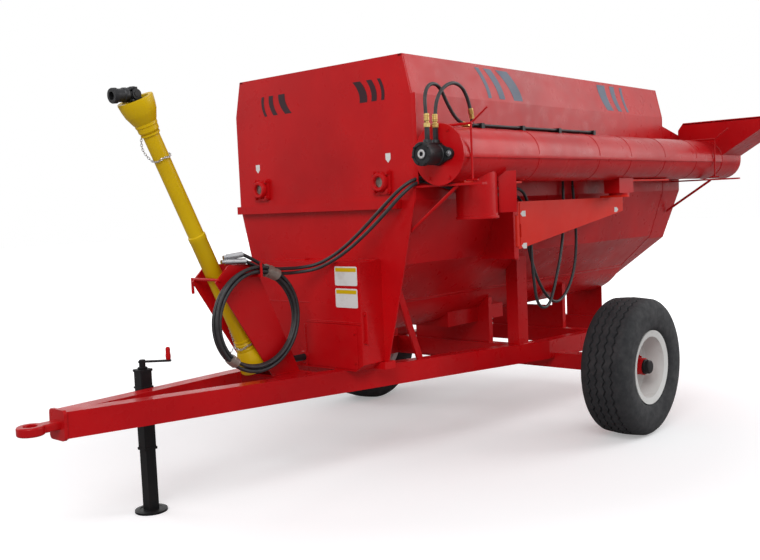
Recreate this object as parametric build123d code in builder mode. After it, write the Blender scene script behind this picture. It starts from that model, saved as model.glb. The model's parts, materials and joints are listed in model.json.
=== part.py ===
"""Towed feed mixer wagon with a side discharge auger, parked on its drawbar jack.

Frame: +X towards the hitch, +Y to the wagon's left, +Z up, millimetres, origin on the ground
under the middle of the whole machine. Lengths along X in the driving dimensions are measured
from the axle and turned into model places by `at(x)`.
"""
from build123d import *
from math import atan, cos, degrees, hypot, pi, radians, sin, tan
import os

# Layout
AXLE_X = -595.0            # the axle's place in the model, along X
GROUND_Z = 0.0

# Wheels
TRACK_HALF = 1015.0        # wheel centre from the middle plane
TYRE_R, TYRE_W = 390.0, 279.0
RIM_FLANGE_R, RIM_BARREL_R = 208.0, 178.0
RIM_WALL = 6.0
TYRE_SEAT = 0.3            # running gap between tyre bead and rim
HUB_R, HUB_FLANGE_R = 48.0, 82.0
HUB_CAP_R = 36.0
SPINDLE_R, SPINDLE_FIT = 28.0, 1.0

# Axle
AXLE_SECTION = 90.0
AXLE_SETBACK = 153.0       # end of the square beam inside the wheel's middle plane
AXLE_HALF = TRACK_HALF - AXLE_SETBACK

# Drawbar: two sloping tubes that meet at the nose
RAIL_H, RAIL_W = 109.0, 76.0
RAIL_TOP_AT_AXLE = 513.0
RAIL_RISE = 0.0267         # rise of the rails towards the nose, per unit of length
NOSE_X = 2960.0
NOSE_HALF = 49.4           # outer face of a rail at the nose
BEND_X = 100.0             # forward of here the rails run together
REAR_HALF = 539.0          # outer face of a rail behind the bend
RAIL_REAR_X = -1340.0
NOSE_PLATE = 14.0

# Hitch eye
EYE_R, EYE_HOLE_R, EYE_T = 55.0, 27.0, 38.0
EYE_REACH = 125.0          # eye centre ahead of the nose plate's back

# Tub
TUB_FRONT_X, TUB_REAR_X = 1421.0, -1291.0
TUB_WALL = 6.0
TOP_Z, TOP_HALF = 2069.0, 587.0
CREASE_Z, WIDE_HALF = 1879.0, 632.5
WAIST_Z = 1377.0
KNEE_Z, KNEE_HALF = 1067.0, 533.0
SEAM_Z, SEAM_HALF = 850.0, 300.0
TROUGH_Z = 665.0           # underside of the trough
PLATE = 8.0                # end plates

# Mixing augers
UPPER_Y, UPPER_Z, UPPER_R, UPPER_TURNS = 437.0, 1470.0, 178.0, 7
FLOOR_Z, FLOOR_R, FLOOR_TURNS = 1000.0, 285.0, 5
AUGER_SHAFT_R = 42.0
SHAFT_END_GAP, FLIGHT_END_GAP = 12.0, 45.0
STUB_R, STUB_REACH, STUB_FRONT, STUB_FIT = 25.0, 50.0, 24.0, 1.0
FLIGHT_T, FLIGHT_ROOT = 9.0, 2.0
FLIGHT_PHASE = 90.0        # where round its shaft a flight begins, degrees

# Chain casing on the front plate
CASING_HALF, CASING_DEPTH = 403.0, 159.0
CASING_LOW, CASING_TOP = 530.0, 1090.0
CASING_WALL, CASING_FLOOR = 5.0, 600.0   # wall, and the height of the inner floor

# Drive shaft and its cradle
PTO_LOW = (1927.0, 609.0)
PTO_HIGH = (2511.0, 1851.0)
PTO_GUARD_R, BELL_LOW_R, BELL_TOP_R = 40.0, 74.0, 80.0
CRADLE_Y, CRADLE_T = 84.0, 8.0
CRADLE_FOOT, CRADLE_REACH = (1713.0, 1890.0), (2207.0, 1042.0)
CRADLE_TOP = ((2125.0, 1116.0), (1975.0, 1110.0))

# Hoses and the pieces that hold them
HOSE_D = 17.0
COIL_X, COIL_Y = 1995.0, 120.0
COIL_Z = CRADLE_TOP[0][1] - 264
COIL_HALF_X, COIL_HALF_Z, COIL_THICK = 268.0, 254.0, 44.0
PIPE_R, PIPE_Z, PIPE_BEND = 7.0, 1722.0, 40.0
PIPE_BACK_Y, PIPE_LOW_Z = 651.0, 1430.0
BULKHEAD_X, BULKHEAD_T = 650.0, 8.0

# Rests under the discharge tube
REST_TOP, REST_T, REST_W = 1444.0, 10.0, 40.0
REST_ROD_R, LATCH_ROD_R = 8.0, 6.0

# Jack
JACK_X, JACK_TUBE = 2440.0, 60.0
JACK_TUBE_LOW, JACK_TUBE_TOP = 290.0, 652.0
JACK_WALL, JACK_FIT = 4.0, 0.3
JACK_FOOT_R, JACK_FOOT_T = 74.0, 10.0

# Discharge tube
TUBE_Y, TUBE_Z, TUBE_R, TUBE_WALL = 800.0, 1580.0, 130.0, 5.0
TUBE_FRONT_X, TUBE_REAR_X = 1440.0, -1600.0
HOPPER_REAR_X = -1950.0
SCREW_R, SCREW_SHAFT_R, SCREW_PITCH, SCREW_TURNS = 112.0, 24.0, 165.0, 2
SCREW_GAP, SCREW_STUB_R, SCREW_FIT, SCREW_PROUD = 6.0, 16.0, 0.3, 14.0
SPOUT_X, SPOUT_R, SPOUT_LOW = 1160.0, 100.0, 1275.0

# Swing arm
HINGE_X, HINGE_Y = 700.0, 712.0
HINGE_LOW, HINGE_TOP, HINGE_R = 1049.0, 1337.0, 16.0
HINGE_PIN_R, HINGE_FIT = 9.0, 0.5
SWIVEL_X = -310.0
ARM_ROOT_H, ARM_TIP_H, ARM_PLATE = 252.0, 86.0, 16.0
ARM_TOP, ARM_END_X = 1348.0, -515.0


def at(x):
    """The model's X of a place measured from the axle."""
    return AXLE_X + x


def rail_top(x):
    """Height of the drawbar's top face at a place measured from the axle."""
    return RAIL_TOP_AT_AXLE + RAIL_RISE * x


def rail_outer(x):
    """Outer face of a rail, from the middle plane."""
    slope = (REAR_HALF - NOSE_HALF) / (NOSE_X - BEND_X)
    return REAR_HALF if x < BEND_X else REAR_HALF - slope * (x - BEND_X)


def rail_inner(x):
    """Inner face of a rail, from the middle plane."""
    slope = (REAR_HALF - NOSE_HALF) / (NOSE_X - BEND_X)
    skew = RAIL_W * hypot(1, slope)
    return rail_outer(x) - (skew if x > BEND_X else RAIL_W)


PITCH = degrees(atan(RAIL_RISE))
DRAWBAR = Plane(
    origin=(at(0), 0, RAIL_TOP_AT_AXLE),
    x_dir=(cos(radians(PITCH)), 0, sin(radians(PITCH))),
    z_dir=(-sin(radians(PITCH)), 0, cos(radians(PITCH))),
)


def across(x):
    """Sketch plane across the wagon, its normal towards the hitch."""
    return Plane.YZ.offset(at(x))


def along(y):
    """Sketch plane along the wagon at y, its local X towards the hitch, its normal to the right."""
    return Plane(origin=(0, y, 0), x_dir=(1, 0, 0), z_dir=(0, -1, 0))


def rod(start, end, radius):
    """Adds a round rod between two points to the part being built."""
    run = Vector(*end) - Vector(*start)
    add(Solid.make_cylinder(radius, run.length, Plane(origin=start, z_dir=run)))


pieces = {}

# Drawbar rails
RAIL_SLOPE = (REAR_HALF - NOSE_HALF) / (NOSE_X - BEND_X)
RAIL_SKEW = RAIL_W * hypot(1, RAIL_SLOPE)
MEET_X = NOSE_X - (RAIL_SKEW - NOSE_HALF) / RAIL_SLOPE
INNER_BEND_X = BEND_X - (RAIL_SKEW - RAIL_W) / RAIL_SLOPE
for side, name in ((1, "rail_left"), (-1, "rail_right")):
    with BuildPart() as rail:
        with BuildSketch(DRAWBAR):
            with BuildLine():
                Polyline(
                    (NOSE_X, 0), (NOSE_X, side * NOSE_HALF), (BEND_X, side * REAR_HALF),
                    (RAIL_REAR_X, side * REAR_HALF), (RAIL_REAR_X, side * (REAR_HALF - RAIL_W)),
                    (INNER_BEND_X, side * (REAR_HALF - RAIL_W)), (MEET_X, 0), close=True,
                )
            make_face()
        extrude(amount=-RAIL_H)
        with BuildSketch(Plane.XZ.offset(-AXLE_HALF)):
            with Locations((at(0), TYRE_R)):
                Rectangle(AXLE_SECTION, AXLE_SECTION)
        extrude(amount=2 * AXLE_HALF, mode=Mode.SUBTRACT)
    pieces[name] = rail

# Nose plate and hitch eye
NOSE_FACE_X = at(NOSE_X * cos(radians(PITCH)) + RAIL_H / 2 * sin(radians(PITCH)))
EYE_X = NOSE_FACE_X + EYE_REACH
EYE_Z = rail_top(NOSE_X) - RAIL_H / 2
NOSE_END = Plane(
    origin=DRAWBAR.from_local_coords((NOSE_X, 0, -RAIL_H / 2)), x_dir=(0, 1, 0), z_dir=DRAWBAR.x_dir
)
with BuildPart() as drawbar_nose:
    with BuildSketch(NOSE_END):
        RectangleRounded(2 * NOSE_HALF + 16, RAIL_H + 16, 18)
    extrude(amount=NOSE_PLATE)
pieces["drawbar_nose"] = drawbar_nose

with BuildPart() as drawbar_eye:
    with BuildSketch(Plane(origin=(EYE_X, 0, EYE_Z), x_dir=(0, 1, 0), z_dir=(-1, 0, 0))):
        RectangleRounded(62, EYE_T - 4, 8)
    extrude(until=Until.NEXT, target=drawbar_nose.part)
    with BuildSketch(Plane.XZ):
        with Locations((EYE_X + (EYE_R + EYE_HOLE_R) / 2, EYE_Z)):
            RectangleRounded(EYE_R - EYE_HOLE_R, EYE_T, 8)
    revolve(axis=Axis((EYE_X, 0, EYE_Z), (0, 0, 1)))
    with BuildSketch(Plane(origin=(EYE_X, 0, EYE_Z - EYE_T / 2))):
        Circle(EYE_HOLE_R)
    extrude(amount=EYE_T, mode=Mode.SUBTRACT)
pieces["drawbar_eye"] = drawbar_eye

# Cross members between the rails
for name, x_low, x_high in (
    ("cross_beam_front", 290.0, 366.0),
    ("cross_beam_middle", -560.0, -484.0),
    ("cross_beam_rear", -1338.0, -1262.0),
    ("cradle_beam", 1700.0, 1890.0),
):
    with BuildPart() as beam:
        with BuildSketch(DRAWBAR):
            with BuildLine():
                Polyline(
                    (x_low, rail_inner(x_low)), (x_high, rail_inner(x_high)),
                    (x_high, -rail_inner(x_high)), (x_low, -rail_inner(x_low)), close=True,
                )
            make_face()
        extrude(amount=-(RAIL_H - 12) if name != "cradle_beam" else -12)
    pieces[name] = beam

# Axle with its spindles
with BuildPart() as axle_beam:
    with BuildSketch(Plane.XZ.offset(-AXLE_HALF)):
        with Locations((at(0), TYRE_R)):
            Rectangle(AXLE_SECTION, AXLE_SECTION)
    extrude(amount=2 * AXLE_HALF)
    with BuildSketch(Plane.XZ.offset(-(TRACK_HALF + 50))):
        with Locations((at(0), TYRE_R)):
            Circle(SPINDLE_R)
    extrude(amount=2 * (TRACK_HALF + 50))
pieces["axle_beam"] = axle_beam

# Wheels: all profiles are (radius, distance outward from the wheel's middle plane)
DISC_AT = -6.0
HUB_IN, HUB_OUT, CAP_OUT = -92.0, 78.0, 112.0
for side, label in ((1, "left"), (-1, "right")):
    wheel_plane = Plane(
        origin=(at(0), side * TRACK_HALF, TYRE_R), x_dir=(1, 0, 0), z_dir=(0, side, 0)
    )
    half = TYRE_W / 2
    bead = RIM_BARREL_R + TYRE_SEAT
    with BuildPart() as tyre:
        with BuildSketch(Plane(origin=wheel_plane.origin, x_dir=wheel_plane.x_dir,
                               z_dir=(0, 0, 1) if side > 0 else (0, 0, -1))):
            with BuildLine():
                Polyline(
                    (bead, -half + 38), (RIM_FLANGE_R + 1, -half + 30), (RIM_FLANGE_R + 8, -half + 18),
                    (250, -half + 4),
                    (310, -half), (356, -half + 10), (380, -half + 26), (TYRE_R - 2, -half + 60),
                    (TYRE_R, 0),
                    (TYRE_R - 2, half - 60), (380, half - 26), (356, half - 10), (310, half),
                    (250, half - 4), (RIM_FLANGE_R + 8, half - 18), (RIM_FLANGE_R + 1, half - 30),
                    (bead, half - 38), close=True,
                )
            make_face()
            for groove in (-66, -22, 22, 66):
                with Locations((TYRE_R, groove)):
                    Rectangle(28, 11, mode=Mode.SUBTRACT)
        revolve(axis=Axis(wheel_plane.origin, (0, 1, 0)))
    pieces[f"tyre_{label}"] = tyre

    with BuildPart() as rim:
        with BuildSketch(Plane(origin=wheel_plane.origin, x_dir=wheel_plane.x_dir,
                               z_dir=(0, 0, 1) if side > 0 else (0, 0, -1))):
            with BuildLine():
                Polyline(
                    (RIM_BARREL_R, -half + 34), (RIM_FLANGE_R, -half + 26), (RIM_FLANGE_R, -half + 18),
                    (RIM_BARREL_R - RIM_WALL, -half + 26), (RIM_BARREL_R - RIM_WALL, DISC_AT - 8),
                    (130, DISC_AT - 22), (HUB_FLANGE_R + 8, DISC_AT - 8), (HUB_R, DISC_AT - 8),
                    (HUB_R, DISC_AT), (HUB_FLANGE_R + 10, DISC_AT), (130, DISC_AT - 13),
                    (RIM_BARREL_R - RIM_WALL - 8, DISC_AT), (RIM_BARREL_R - RIM_WALL, DISC_AT + 8),
                    (RIM_BARREL_R - RIM_WALL, half - 26),
                    (RIM_FLANGE_R, half - 18), (RIM_FLANGE_R, half - 26), (RIM_BARREL_R, half - 34),
                    close=True,
                )
            make_face()
        revolve(axis=Axis(wheel_plane.origin, (0, 1, 0)))
    pieces[f"rim_{label}"] = rim

    with BuildPart() as hub:
        with BuildSketch(Plane(origin=wheel_plane.origin, x_dir=wheel_plane.x_dir,
                               z_dir=(0, 0, 1) if side > 0 else (0, 0, -1))):
            with BuildLine():
                Polyline(
                    (SPINDLE_R + SPINDLE_FIT, HUB_IN), (HUB_R, HUB_IN), (HUB_R, DISC_AT),
                    (HUB_FLANGE_R, DISC_AT), (HUB_FLANGE_R, DISC_AT + 12), (HUB_R + 8, DISC_AT + 14),
                    (HUB_R, DISC_AT + 26), (HUB_R, HUB_OUT), (HUB_CAP_R, HUB_OUT),
                    (HUB_CAP_R, CAP_OUT - 8), (HUB_CAP_R - 8, CAP_OUT), (0, CAP_OUT),
                    (0, 58), (SPINDLE_R + SPINDLE_FIT, 58), close=True,
                )
            make_face()
        revolve(axis=Axis(wheel_plane.origin, (0, 1, 0)))
    pieces[f"hub_{label}"] = hub


def tub_section(inset, lift=0.0):
    """Closed half-open outline of the tub, inset from its outer face, its mouth raised by lift."""
    with BuildSketch(Plane.XY) as outline:
        with BuildLine():
            Polyline(
                (-SEAM_HALF, SEAM_Z), (-KNEE_HALF, KNEE_Z), (-WIDE_HALF, WAIST_Z),
                (-WIDE_HALF, CREASE_Z), (-TOP_HALF, TOP_Z), (TOP_HALF, TOP_Z),
                (WIDE_HALF, CREASE_Z), (WIDE_HALF, WAIST_Z), (KNEE_HALF, KNEE_Z),
                (SEAM_HALF, SEAM_Z),
            )
            ThreePointArc((SEAM_HALF, SEAM_Z), (0, TROUGH_Z), (-SEAM_HALF, SEAM_Z))
        make_face()
        if inset:
            offset(amount=-inset, kind=Kind.INTERSECTION)
            with Locations((0, TOP_Z - inset)):
                Rectangle(2 * (TOP_HALF - inset), 2 * inset + lift, align=(Align.CENTER, Align.MIN))
    return outline.sketch


# Tub shell, split at its seams into two sides and the trough
with BuildPart() as tub_shell:
    with BuildSketch(across(TUB_REAR_X)):
        add(tub_section(0))
        add(tub_section(TUB_WALL, 4), mode=Mode.SUBTRACT)
    extrude(amount=TUB_FRONT_X - TUB_REAR_X)
HATCH_FRONT, HATCH_REAR, HATCH_HALF, HATCH_LOW = 640.0, 80.0, 200.0, 645.0
SADDLE_HALF = HATCH_HALF + 80
SEAM_PLANE = Plane(origin=(0, 0, SEAM_Z), z_dir=(0, 0, 1))
for side, name in ((1, "tub_left"), (-1, "tub_right")):
    with BuildPart() as tub_side:
        add(tub_shell.part)
        split(bisect_by=SEAM_PLANE, keep=Keep.TOP)
        split(bisect_by=Plane(origin=(0, 0, 0), z_dir=(0, side, 0)), keep=Keep.TOP)
    pieces[name] = tub_side
with BuildPart() as tub_trough:
    with BuildSketch(across(HATCH_REAR)):
        with Locations((0, HATCH_LOW)):
            Rectangle(2 * HATCH_HALF, SEAM_Z - HATCH_LOW, align=(Align.CENTER, Align.MIN))
    extrude(amount=HATCH_FRONT - HATCH_REAR)
    with BuildSketch(across(HATCH_REAR)):
        add(tub_section(TUB_WALL / 2))
    extrude(amount=HATCH_FRONT - HATCH_REAR, mode=Mode.SUBTRACT)
    add(tub_shell.part)
    split(bisect_by=SEAM_PLANE, keep=Keep.BOTTOM)
pieces["tub_trough"] = tub_trough

# Front plate, running down to the bolster as two legs
BOLSTER_TOP, BOLSTER_HALF, BOLSTER_DEPTH = 587.0, 430.0, 80.0
FRONT_LEG_HALF = 426.0
with BuildPart() as tub_front:
    with BuildSketch(across(TUB_FRONT_X)):
        with BuildLine():
            Polyline(
                (-TOP_HALF, TOP_Z), (TOP_HALF, TOP_Z), (WIDE_HALF, CREASE_Z), (WIDE_HALF, WAIST_Z),
                (555, 1070), (FRONT_LEG_HALF, BOLSTER_TOP), (-FRONT_LEG_HALF, BOLSTER_TOP),
                (-555, 1070), (-WIDE_HALF, WAIST_Z), (-WIDE_HALF, CREASE_Z), close=True,
            )
        make_face()
        with Locations((UPPER_Y, UPPER_Z), (-UPPER_Y, UPPER_Z), (0, FLOOR_Z)):
            Circle(STUB_R + STUB_FIT, mode=Mode.SUBTRACT)
    extrude(amount=PLATE)
pieces["tub_front"] = tub_front

with BuildPart() as front_bolster:
    with BuildSketch(across(TUB_FRONT_X - BOLSTER_DEPTH / 2)):
        with Locations((0, BOLSTER_TOP)):
            Rectangle(2 * BOLSTER_HALF, BOLSTER_TOP - rail_top(TUB_FRONT_X) + 10,
                      align=(Align.CENTER, Align.MAX))
    extrude(amount=BOLSTER_DEPTH)
    split(bisect_by=DRAWBAR, keep=Keep.TOP)
pieces["front_bolster"] = front_bolster

# Braces from the front legs back to the rails
BRACE_TOP = (500.0, 940.0)
BRACE_FOOT_X, BRACE_INSET, BRACE_W, BRACE_T = 1085.0, 26.0, 42.0, 12.0
brace_foot = (BRACE_FOOT_X, rail_outer(BRACE_FOOT_X) - BRACE_INSET, rail_top(BRACE_FOOT_X))
with BuildPart() as front_braces:
    brace_run = Vector(at(TUB_FRONT_X), *BRACE_TOP) - Vector(at(brace_foot[0]), *brace_foot[1:])
    with BuildSketch(Plane(origin=(at(brace_foot[0]), *brace_foot[1:]), x_dir=(0, 1, 0),
                           z_dir=brace_run).offset(-BRACE_W)):
        Rectangle(BRACE_T, BRACE_W)
    extrude(amount=brace_run.length + 2 * BRACE_W)
    split(bisect_by=DRAWBAR, keep=Keep.TOP)
    split(bisect_by=across(TUB_FRONT_X), keep=Keep.BOTTOM)
    mirror(about=Plane.XZ)
pieces["front_braces"] = front_braces

# Rear plate with the housing behind it
PEDESTAL_HALF = 145.0
with BuildPart() as tub_rear:
    with BuildSketch(across(TUB_REAR_X - PLATE)):
        add(tub_section(0))
        with Locations((0, RAIL_TOP_AT_AXLE - RAIL_H)):
            Rectangle(2 * PEDESTAL_HALF, TROUGH_Z + RAIL_H - RAIL_TOP_AT_AXLE + 60,
                      align=(Align.CENTER, Align.MIN))
        with Locations((UPPER_Y, UPPER_Z), (-UPPER_Y, UPPER_Z), (0, FLOOR_Z)):
            Circle(STUB_R + STUB_FIT, mode=Mode.SUBTRACT)
    extrude(amount=PLATE)
    split(bisect_by=DRAWBAR, keep=Keep.TOP)
pieces["tub_rear"] = tub_rear

HOUSING_X, HOUSING_TOP, HOUSING_BACK_TOP = -1560.0, 1820.0, 1765.0
HOUSING_KNEE, HOUSING_LOW = (505.0, 1045.0), 672.0
HOUSING_FRONT_X, HOUSING_WALL = TUB_REAR_X - PLATE, 5.0
with BuildPart() as rear_housing:
    with BuildSketch(across(HOUSING_FRONT_X)):
        with BuildLine():
            Polyline(
                (WIDE_HALF, HOUSING_TOP), (WIDE_HALF, WAIST_Z), HOUSING_KNEE, (0, HOUSING_LOW),
                (-HOUSING_KNEE[0], HOUSING_KNEE[1]), (-WIDE_HALF, WAIST_Z), (-WIDE_HALF, HOUSING_TOP),
                close=True,
            )
        make_face()
    extrude(amount=HOUSING_X - HOUSING_FRONT_X)
    with BuildSketch(along(-WIDE_HALF)):
        with BuildLine():
            Polyline(
                (at(HOUSING_FRONT_X), HOUSING_TOP), (at(HOUSING_X), HOUSING_BACK_TOP),
                (at(HOUSING_X), HOUSING_TOP + 10), (at(HOUSING_FRONT_X), HOUSING_TOP + 10), close=True,
            )
        make_face()
    extrude(amount=-2 * WIDE_HALF, mode=Mode.SUBTRACT)
    with BuildSketch(across(HOUSING_FRONT_X)):
        with BuildLine():
            Polyline(
                (WIDE_HALF, HOUSING_BACK_TOP), (WIDE_HALF, WAIST_Z), HOUSING_KNEE, (0, HOUSING_LOW),
                (-HOUSING_KNEE[0], HOUSING_KNEE[1]), (-WIDE_HALF, WAIST_Z), (-WIDE_HALF, HOUSING_BACK_TOP),
                close=True,
            )
        make_face()
        offset(amount=-HOUSING_WALL, kind=Kind.INTERSECTION, mode=Mode.REPLACE)
    extrude(amount=HOUSING_X + HOUSING_WALL - HOUSING_FRONT_X, mode=Mode.SUBTRACT)
pieces["rear_housing"] = rear_housing

# Posts between the drawbar and the tub's lower wall
POST_X, POST_INNER, POST_DEPTH = 262.0, 420.0, 100.0
LOWER_WALL = Plane(
    origin=(0, KNEE_HALF, KNEE_Z), x_dir=(1, 0, 0),
    z_dir=(0, KNEE_Z - SEAM_Z, -(KNEE_HALF - SEAM_HALF)),
)
for side, name in ((1, "post_left"), (-1, "post_right")):
    with BuildPart() as post:
        with BuildSketch(Plane.XY.offset(rail_top(0) - 30)):
            with Locations((at(POST_X), POST_INNER)):
                Rectangle(POST_DEPTH, RAIL_W, align=Align.MIN)
        extrude(amount=KNEE_Z - rail_top(0) + 60)
        split(bisect_by=DRAWBAR, keep=Keep.TOP)
        split(bisect_by=LOWER_WALL, keep=Keep.TOP)
        if side < 0:
            mirror(about=Plane.XZ, mode=Mode.REPLACE)
    pieces[name] = post

# Saddles that carry the trough on the cross members
for name, x_low in (("saddle_front", 310.0), ("saddle_middle", -540.0)):
    with BuildPart() as saddle:
        with BuildSketch(across(x_low)):
            with Locations((0, rail_top(0) - 40)):
                Rectangle(2 * SADDLE_HALF, SEAM_Z - rail_top(0) - 20, align=(Align.CENTER, Align.MIN))
        extrude(amount=36)
        split(bisect_by=DRAWBAR, keep=Keep.TOP)
        with BuildSketch(across(x_low)):
            add(tub_section(0))
            with Locations((0, HATCH_LOW)):
                Rectangle(2 * HATCH_HALF, SEAM_Z - HATCH_LOW, align=(Align.CENTER, Align.MIN))
        extrude(amount=36, mode=Mode.SUBTRACT)
    pieces[name] = saddle

# Chain casing and its door
CASING_X = TUB_FRONT_X + PLATE
DOOR_LEFT, DOOR_RIGHT, DOOR_LOW, DOOR_TOP = 20.0, 372.0, 556.0, 782.0
DOOR_T, DOOR_GAP = 4.0, 0.3
with BuildPart() as chain_casing:
    with BuildSketch(across(CASING_X)):
        with BuildLine():
            Polyline(
                (-CASING_HALF, CASING_TOP), (CASING_HALF, CASING_TOP), (CASING_HALF, CASING_LOW + 60),
                (CASING_HALF - 60, CASING_LOW + 20), (60, CASING_LOW), (-CASING_HALF + 60, CASING_LOW),
                (-CASING_HALF, CASING_LOW + 60), close=True,
            )
        make_face()
    extrude(amount=CASING_DEPTH)
    with BuildSketch(across(CASING_X)):
        with Locations((0, CASING_TOP - CASING_WALL)):
            Rectangle(2 * (CASING_HALF - CASING_WALL), CASING_TOP - CASING_WALL - CASING_FLOOR,
                      align=(Align.CENTER, Align.MAX))
    extrude(amount=CASING_DEPTH - CASING_WALL, mode=Mode.SUBTRACT)
    with BuildSketch(DRAWBAR.offset(-RAIL_H)):
        with Locations((CASING_X + CASING_DEPTH / 2, 0)):
            Rectangle(3 * CASING_DEPTH, 4 * CASING_HALF)
    extrude(amount=RAIL_H + 0.3, mode=Mode.SUBTRACT)
    with BuildSketch(across(TUB_FRONT_X - BOLSTER_DEPTH)):
        Rectangle(2 * BOLSTER_HALF + 2, 2 * (BOLSTER_TOP + 0.3))
    extrude(amount=BOLSTER_DEPTH * 1.5 + 0.3, mode=Mode.SUBTRACT)
pieces["chain_casing"] = chain_casing

DOOR_X = CASING_X + CASING_DEPTH + DOOR_GAP
with BuildPart() as casing_door:
    with BuildSketch(across(DOOR_X)):
        with Locations(((DOOR_LEFT + DOOR_RIGHT) / 2, (DOOR_LOW + DOOR_TOP) / 2 + 6)):
            RectangleRounded(DOOR_RIGHT - DOOR_LEFT, DOOR_TOP - DOOR_LOW - 12, 14)
    extrude(amount=DOOR_T)
pieces["casing_door"] = casing_door

# Shaft bearings on the front plate
with BuildPart() as auger_bearings:
    with BuildSketch(across(TUB_FRONT_X + PLATE)):
        with Locations((UPPER_Y, UPPER_Z), (-UPPER_Y, UPPER_Z)):
            RectangleRounded(118, 118, 16)
            Circle(STUB_R + STUB_FIT, mode=Mode.SUBTRACT)
    extrude(amount=14)
    with BuildSketch(across(TUB_FRONT_X + PLATE + 14)):
        with Locations((UPPER_Y, UPPER_Z), (-UPPER_Y, UPPER_Z)):
            Circle(44)
            Circle(STUB_R + STUB_FIT, mode=Mode.SUBTRACT)
    extrude(amount=22)
pieces["auger_bearings"] = auger_bearings

# Stiffening bar across the front plate
BAR_LOW, BAR_H, BAR_DEPTH = 1340.0, 42.0, 38.0
BAR_RIGHT, BAR_LEFT = -(WIDE_HALF - 14), WIDE_HALF - 82
with BuildPart() as front_bar:
    with BuildSketch(across(TUB_FRONT_X + PLATE)):
        with Locations((BAR_RIGHT, BAR_LOW)):
            Rectangle(BAR_LEFT - BAR_RIGHT, BAR_H, align=(Align.MIN, Align.MIN))
    extrude(amount=BAR_DEPTH)
pieces["front_bar"] = front_bar


def flighting(plane, shaft_r, flight_r, pitch, turns, lefthand=False):
    """Adds a helical flight about a plane's normal to the part being built."""
    run = pitch * turns
    inner = Edge.make_helix(pitch, run, shaft_r - FLIGHT_ROOT, lefthand=lefthand)
    outer = Edge.make_helix(pitch, run, flight_r, lefthand=lefthand)
    blade = Solid.thicken(Face.make_surface_from_curves(inner, outer), FLIGHT_T)
    add(plane.from_local_coords(blade.rotate(Axis.Z, FLIGHT_PHASE)))


# Mixing augers: the shafts turn in the end plates
TUB_LENGTH = TUB_FRONT_X - TUB_REAR_X
for name, y, z, flight_r, turns, lefthand in (
    ("auger_left", UPPER_Y, UPPER_Z, UPPER_R, UPPER_TURNS, False),
    ("auger_right", -UPPER_Y, UPPER_Z, UPPER_R, UPPER_TURNS, True),
    ("auger_floor", 0.0, FLOOR_Z, FLOOR_R, FLOOR_TURNS, False),
):
    rear_end = Plane(origin=(at(TUB_REAR_X), y, z), x_dir=(0, 1, 0), z_dir=(1, 0, 0))
    pitch = (TUB_LENGTH - 2 * FLIGHT_END_GAP) / turns
    with BuildPart() as mixing_auger:
        with BuildSketch(rear_end.offset(SHAFT_END_GAP)):
            Circle(AUGER_SHAFT_R)
        extrude(amount=TUB_LENGTH - 2 * SHAFT_END_GAP)
        flighting(rear_end.offset(FLIGHT_END_GAP), AUGER_SHAFT_R, flight_r, pitch, turns, lefthand)
        with BuildSketch(rear_end.offset(-PLATE - STUB_REACH)):
            Circle(STUB_R)
        extrude(amount=TUB_LENGTH + 2 * PLATE + STUB_REACH + (STUB_FRONT if y else 0))
    pieces[name] = mixing_auger

# Drive shaft: guard, yokes and the cradle that holds them
pto_run = hypot(PTO_HIGH[0] - PTO_LOW[0], PTO_HIGH[1] - PTO_LOW[1])
pto_dir = ((PTO_HIGH[0] - PTO_LOW[0]) / pto_run, 0, (PTO_HIGH[1] - PTO_LOW[1]) / pto_run)
PTO_PLANE = Plane(origin=(at(PTO_LOW[0]), 0, PTO_LOW[1]), x_dir=(0, 1, 0), z_dir=pto_dir)
PTO_BORE_R, PTO_GUARD_FIT = 24.0, 0.3
with BuildPart() as pto_guard:
    with BuildSketch(Plane(origin=PTO_PLANE.origin, x_dir=(0, 1, 0),
                           z_dir=(pto_dir[2], 0, -pto_dir[0]))):
        with BuildLine():
            Polyline(
                (PTO_BORE_R + PTO_GUARD_FIT, 60), (BELL_LOW_R - 6, -6), (BELL_LOW_R, 0),
                (BELL_LOW_R - 7, 60), (PTO_GUARD_R, 118), (PTO_GUARD_R, pto_run - 118),
                (BELL_TOP_R - 8, pto_run - 62),
                (BELL_TOP_R, pto_run), (BELL_TOP_R - 6, pto_run + 6),
                (PTO_BORE_R + PTO_GUARD_FIT, pto_run - 60),
                close=True,
            )
        make_face()
    revolve(axis=Axis(PTO_PLANE.origin, pto_dir))
pieces["pto_guard"] = pto_guard

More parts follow.
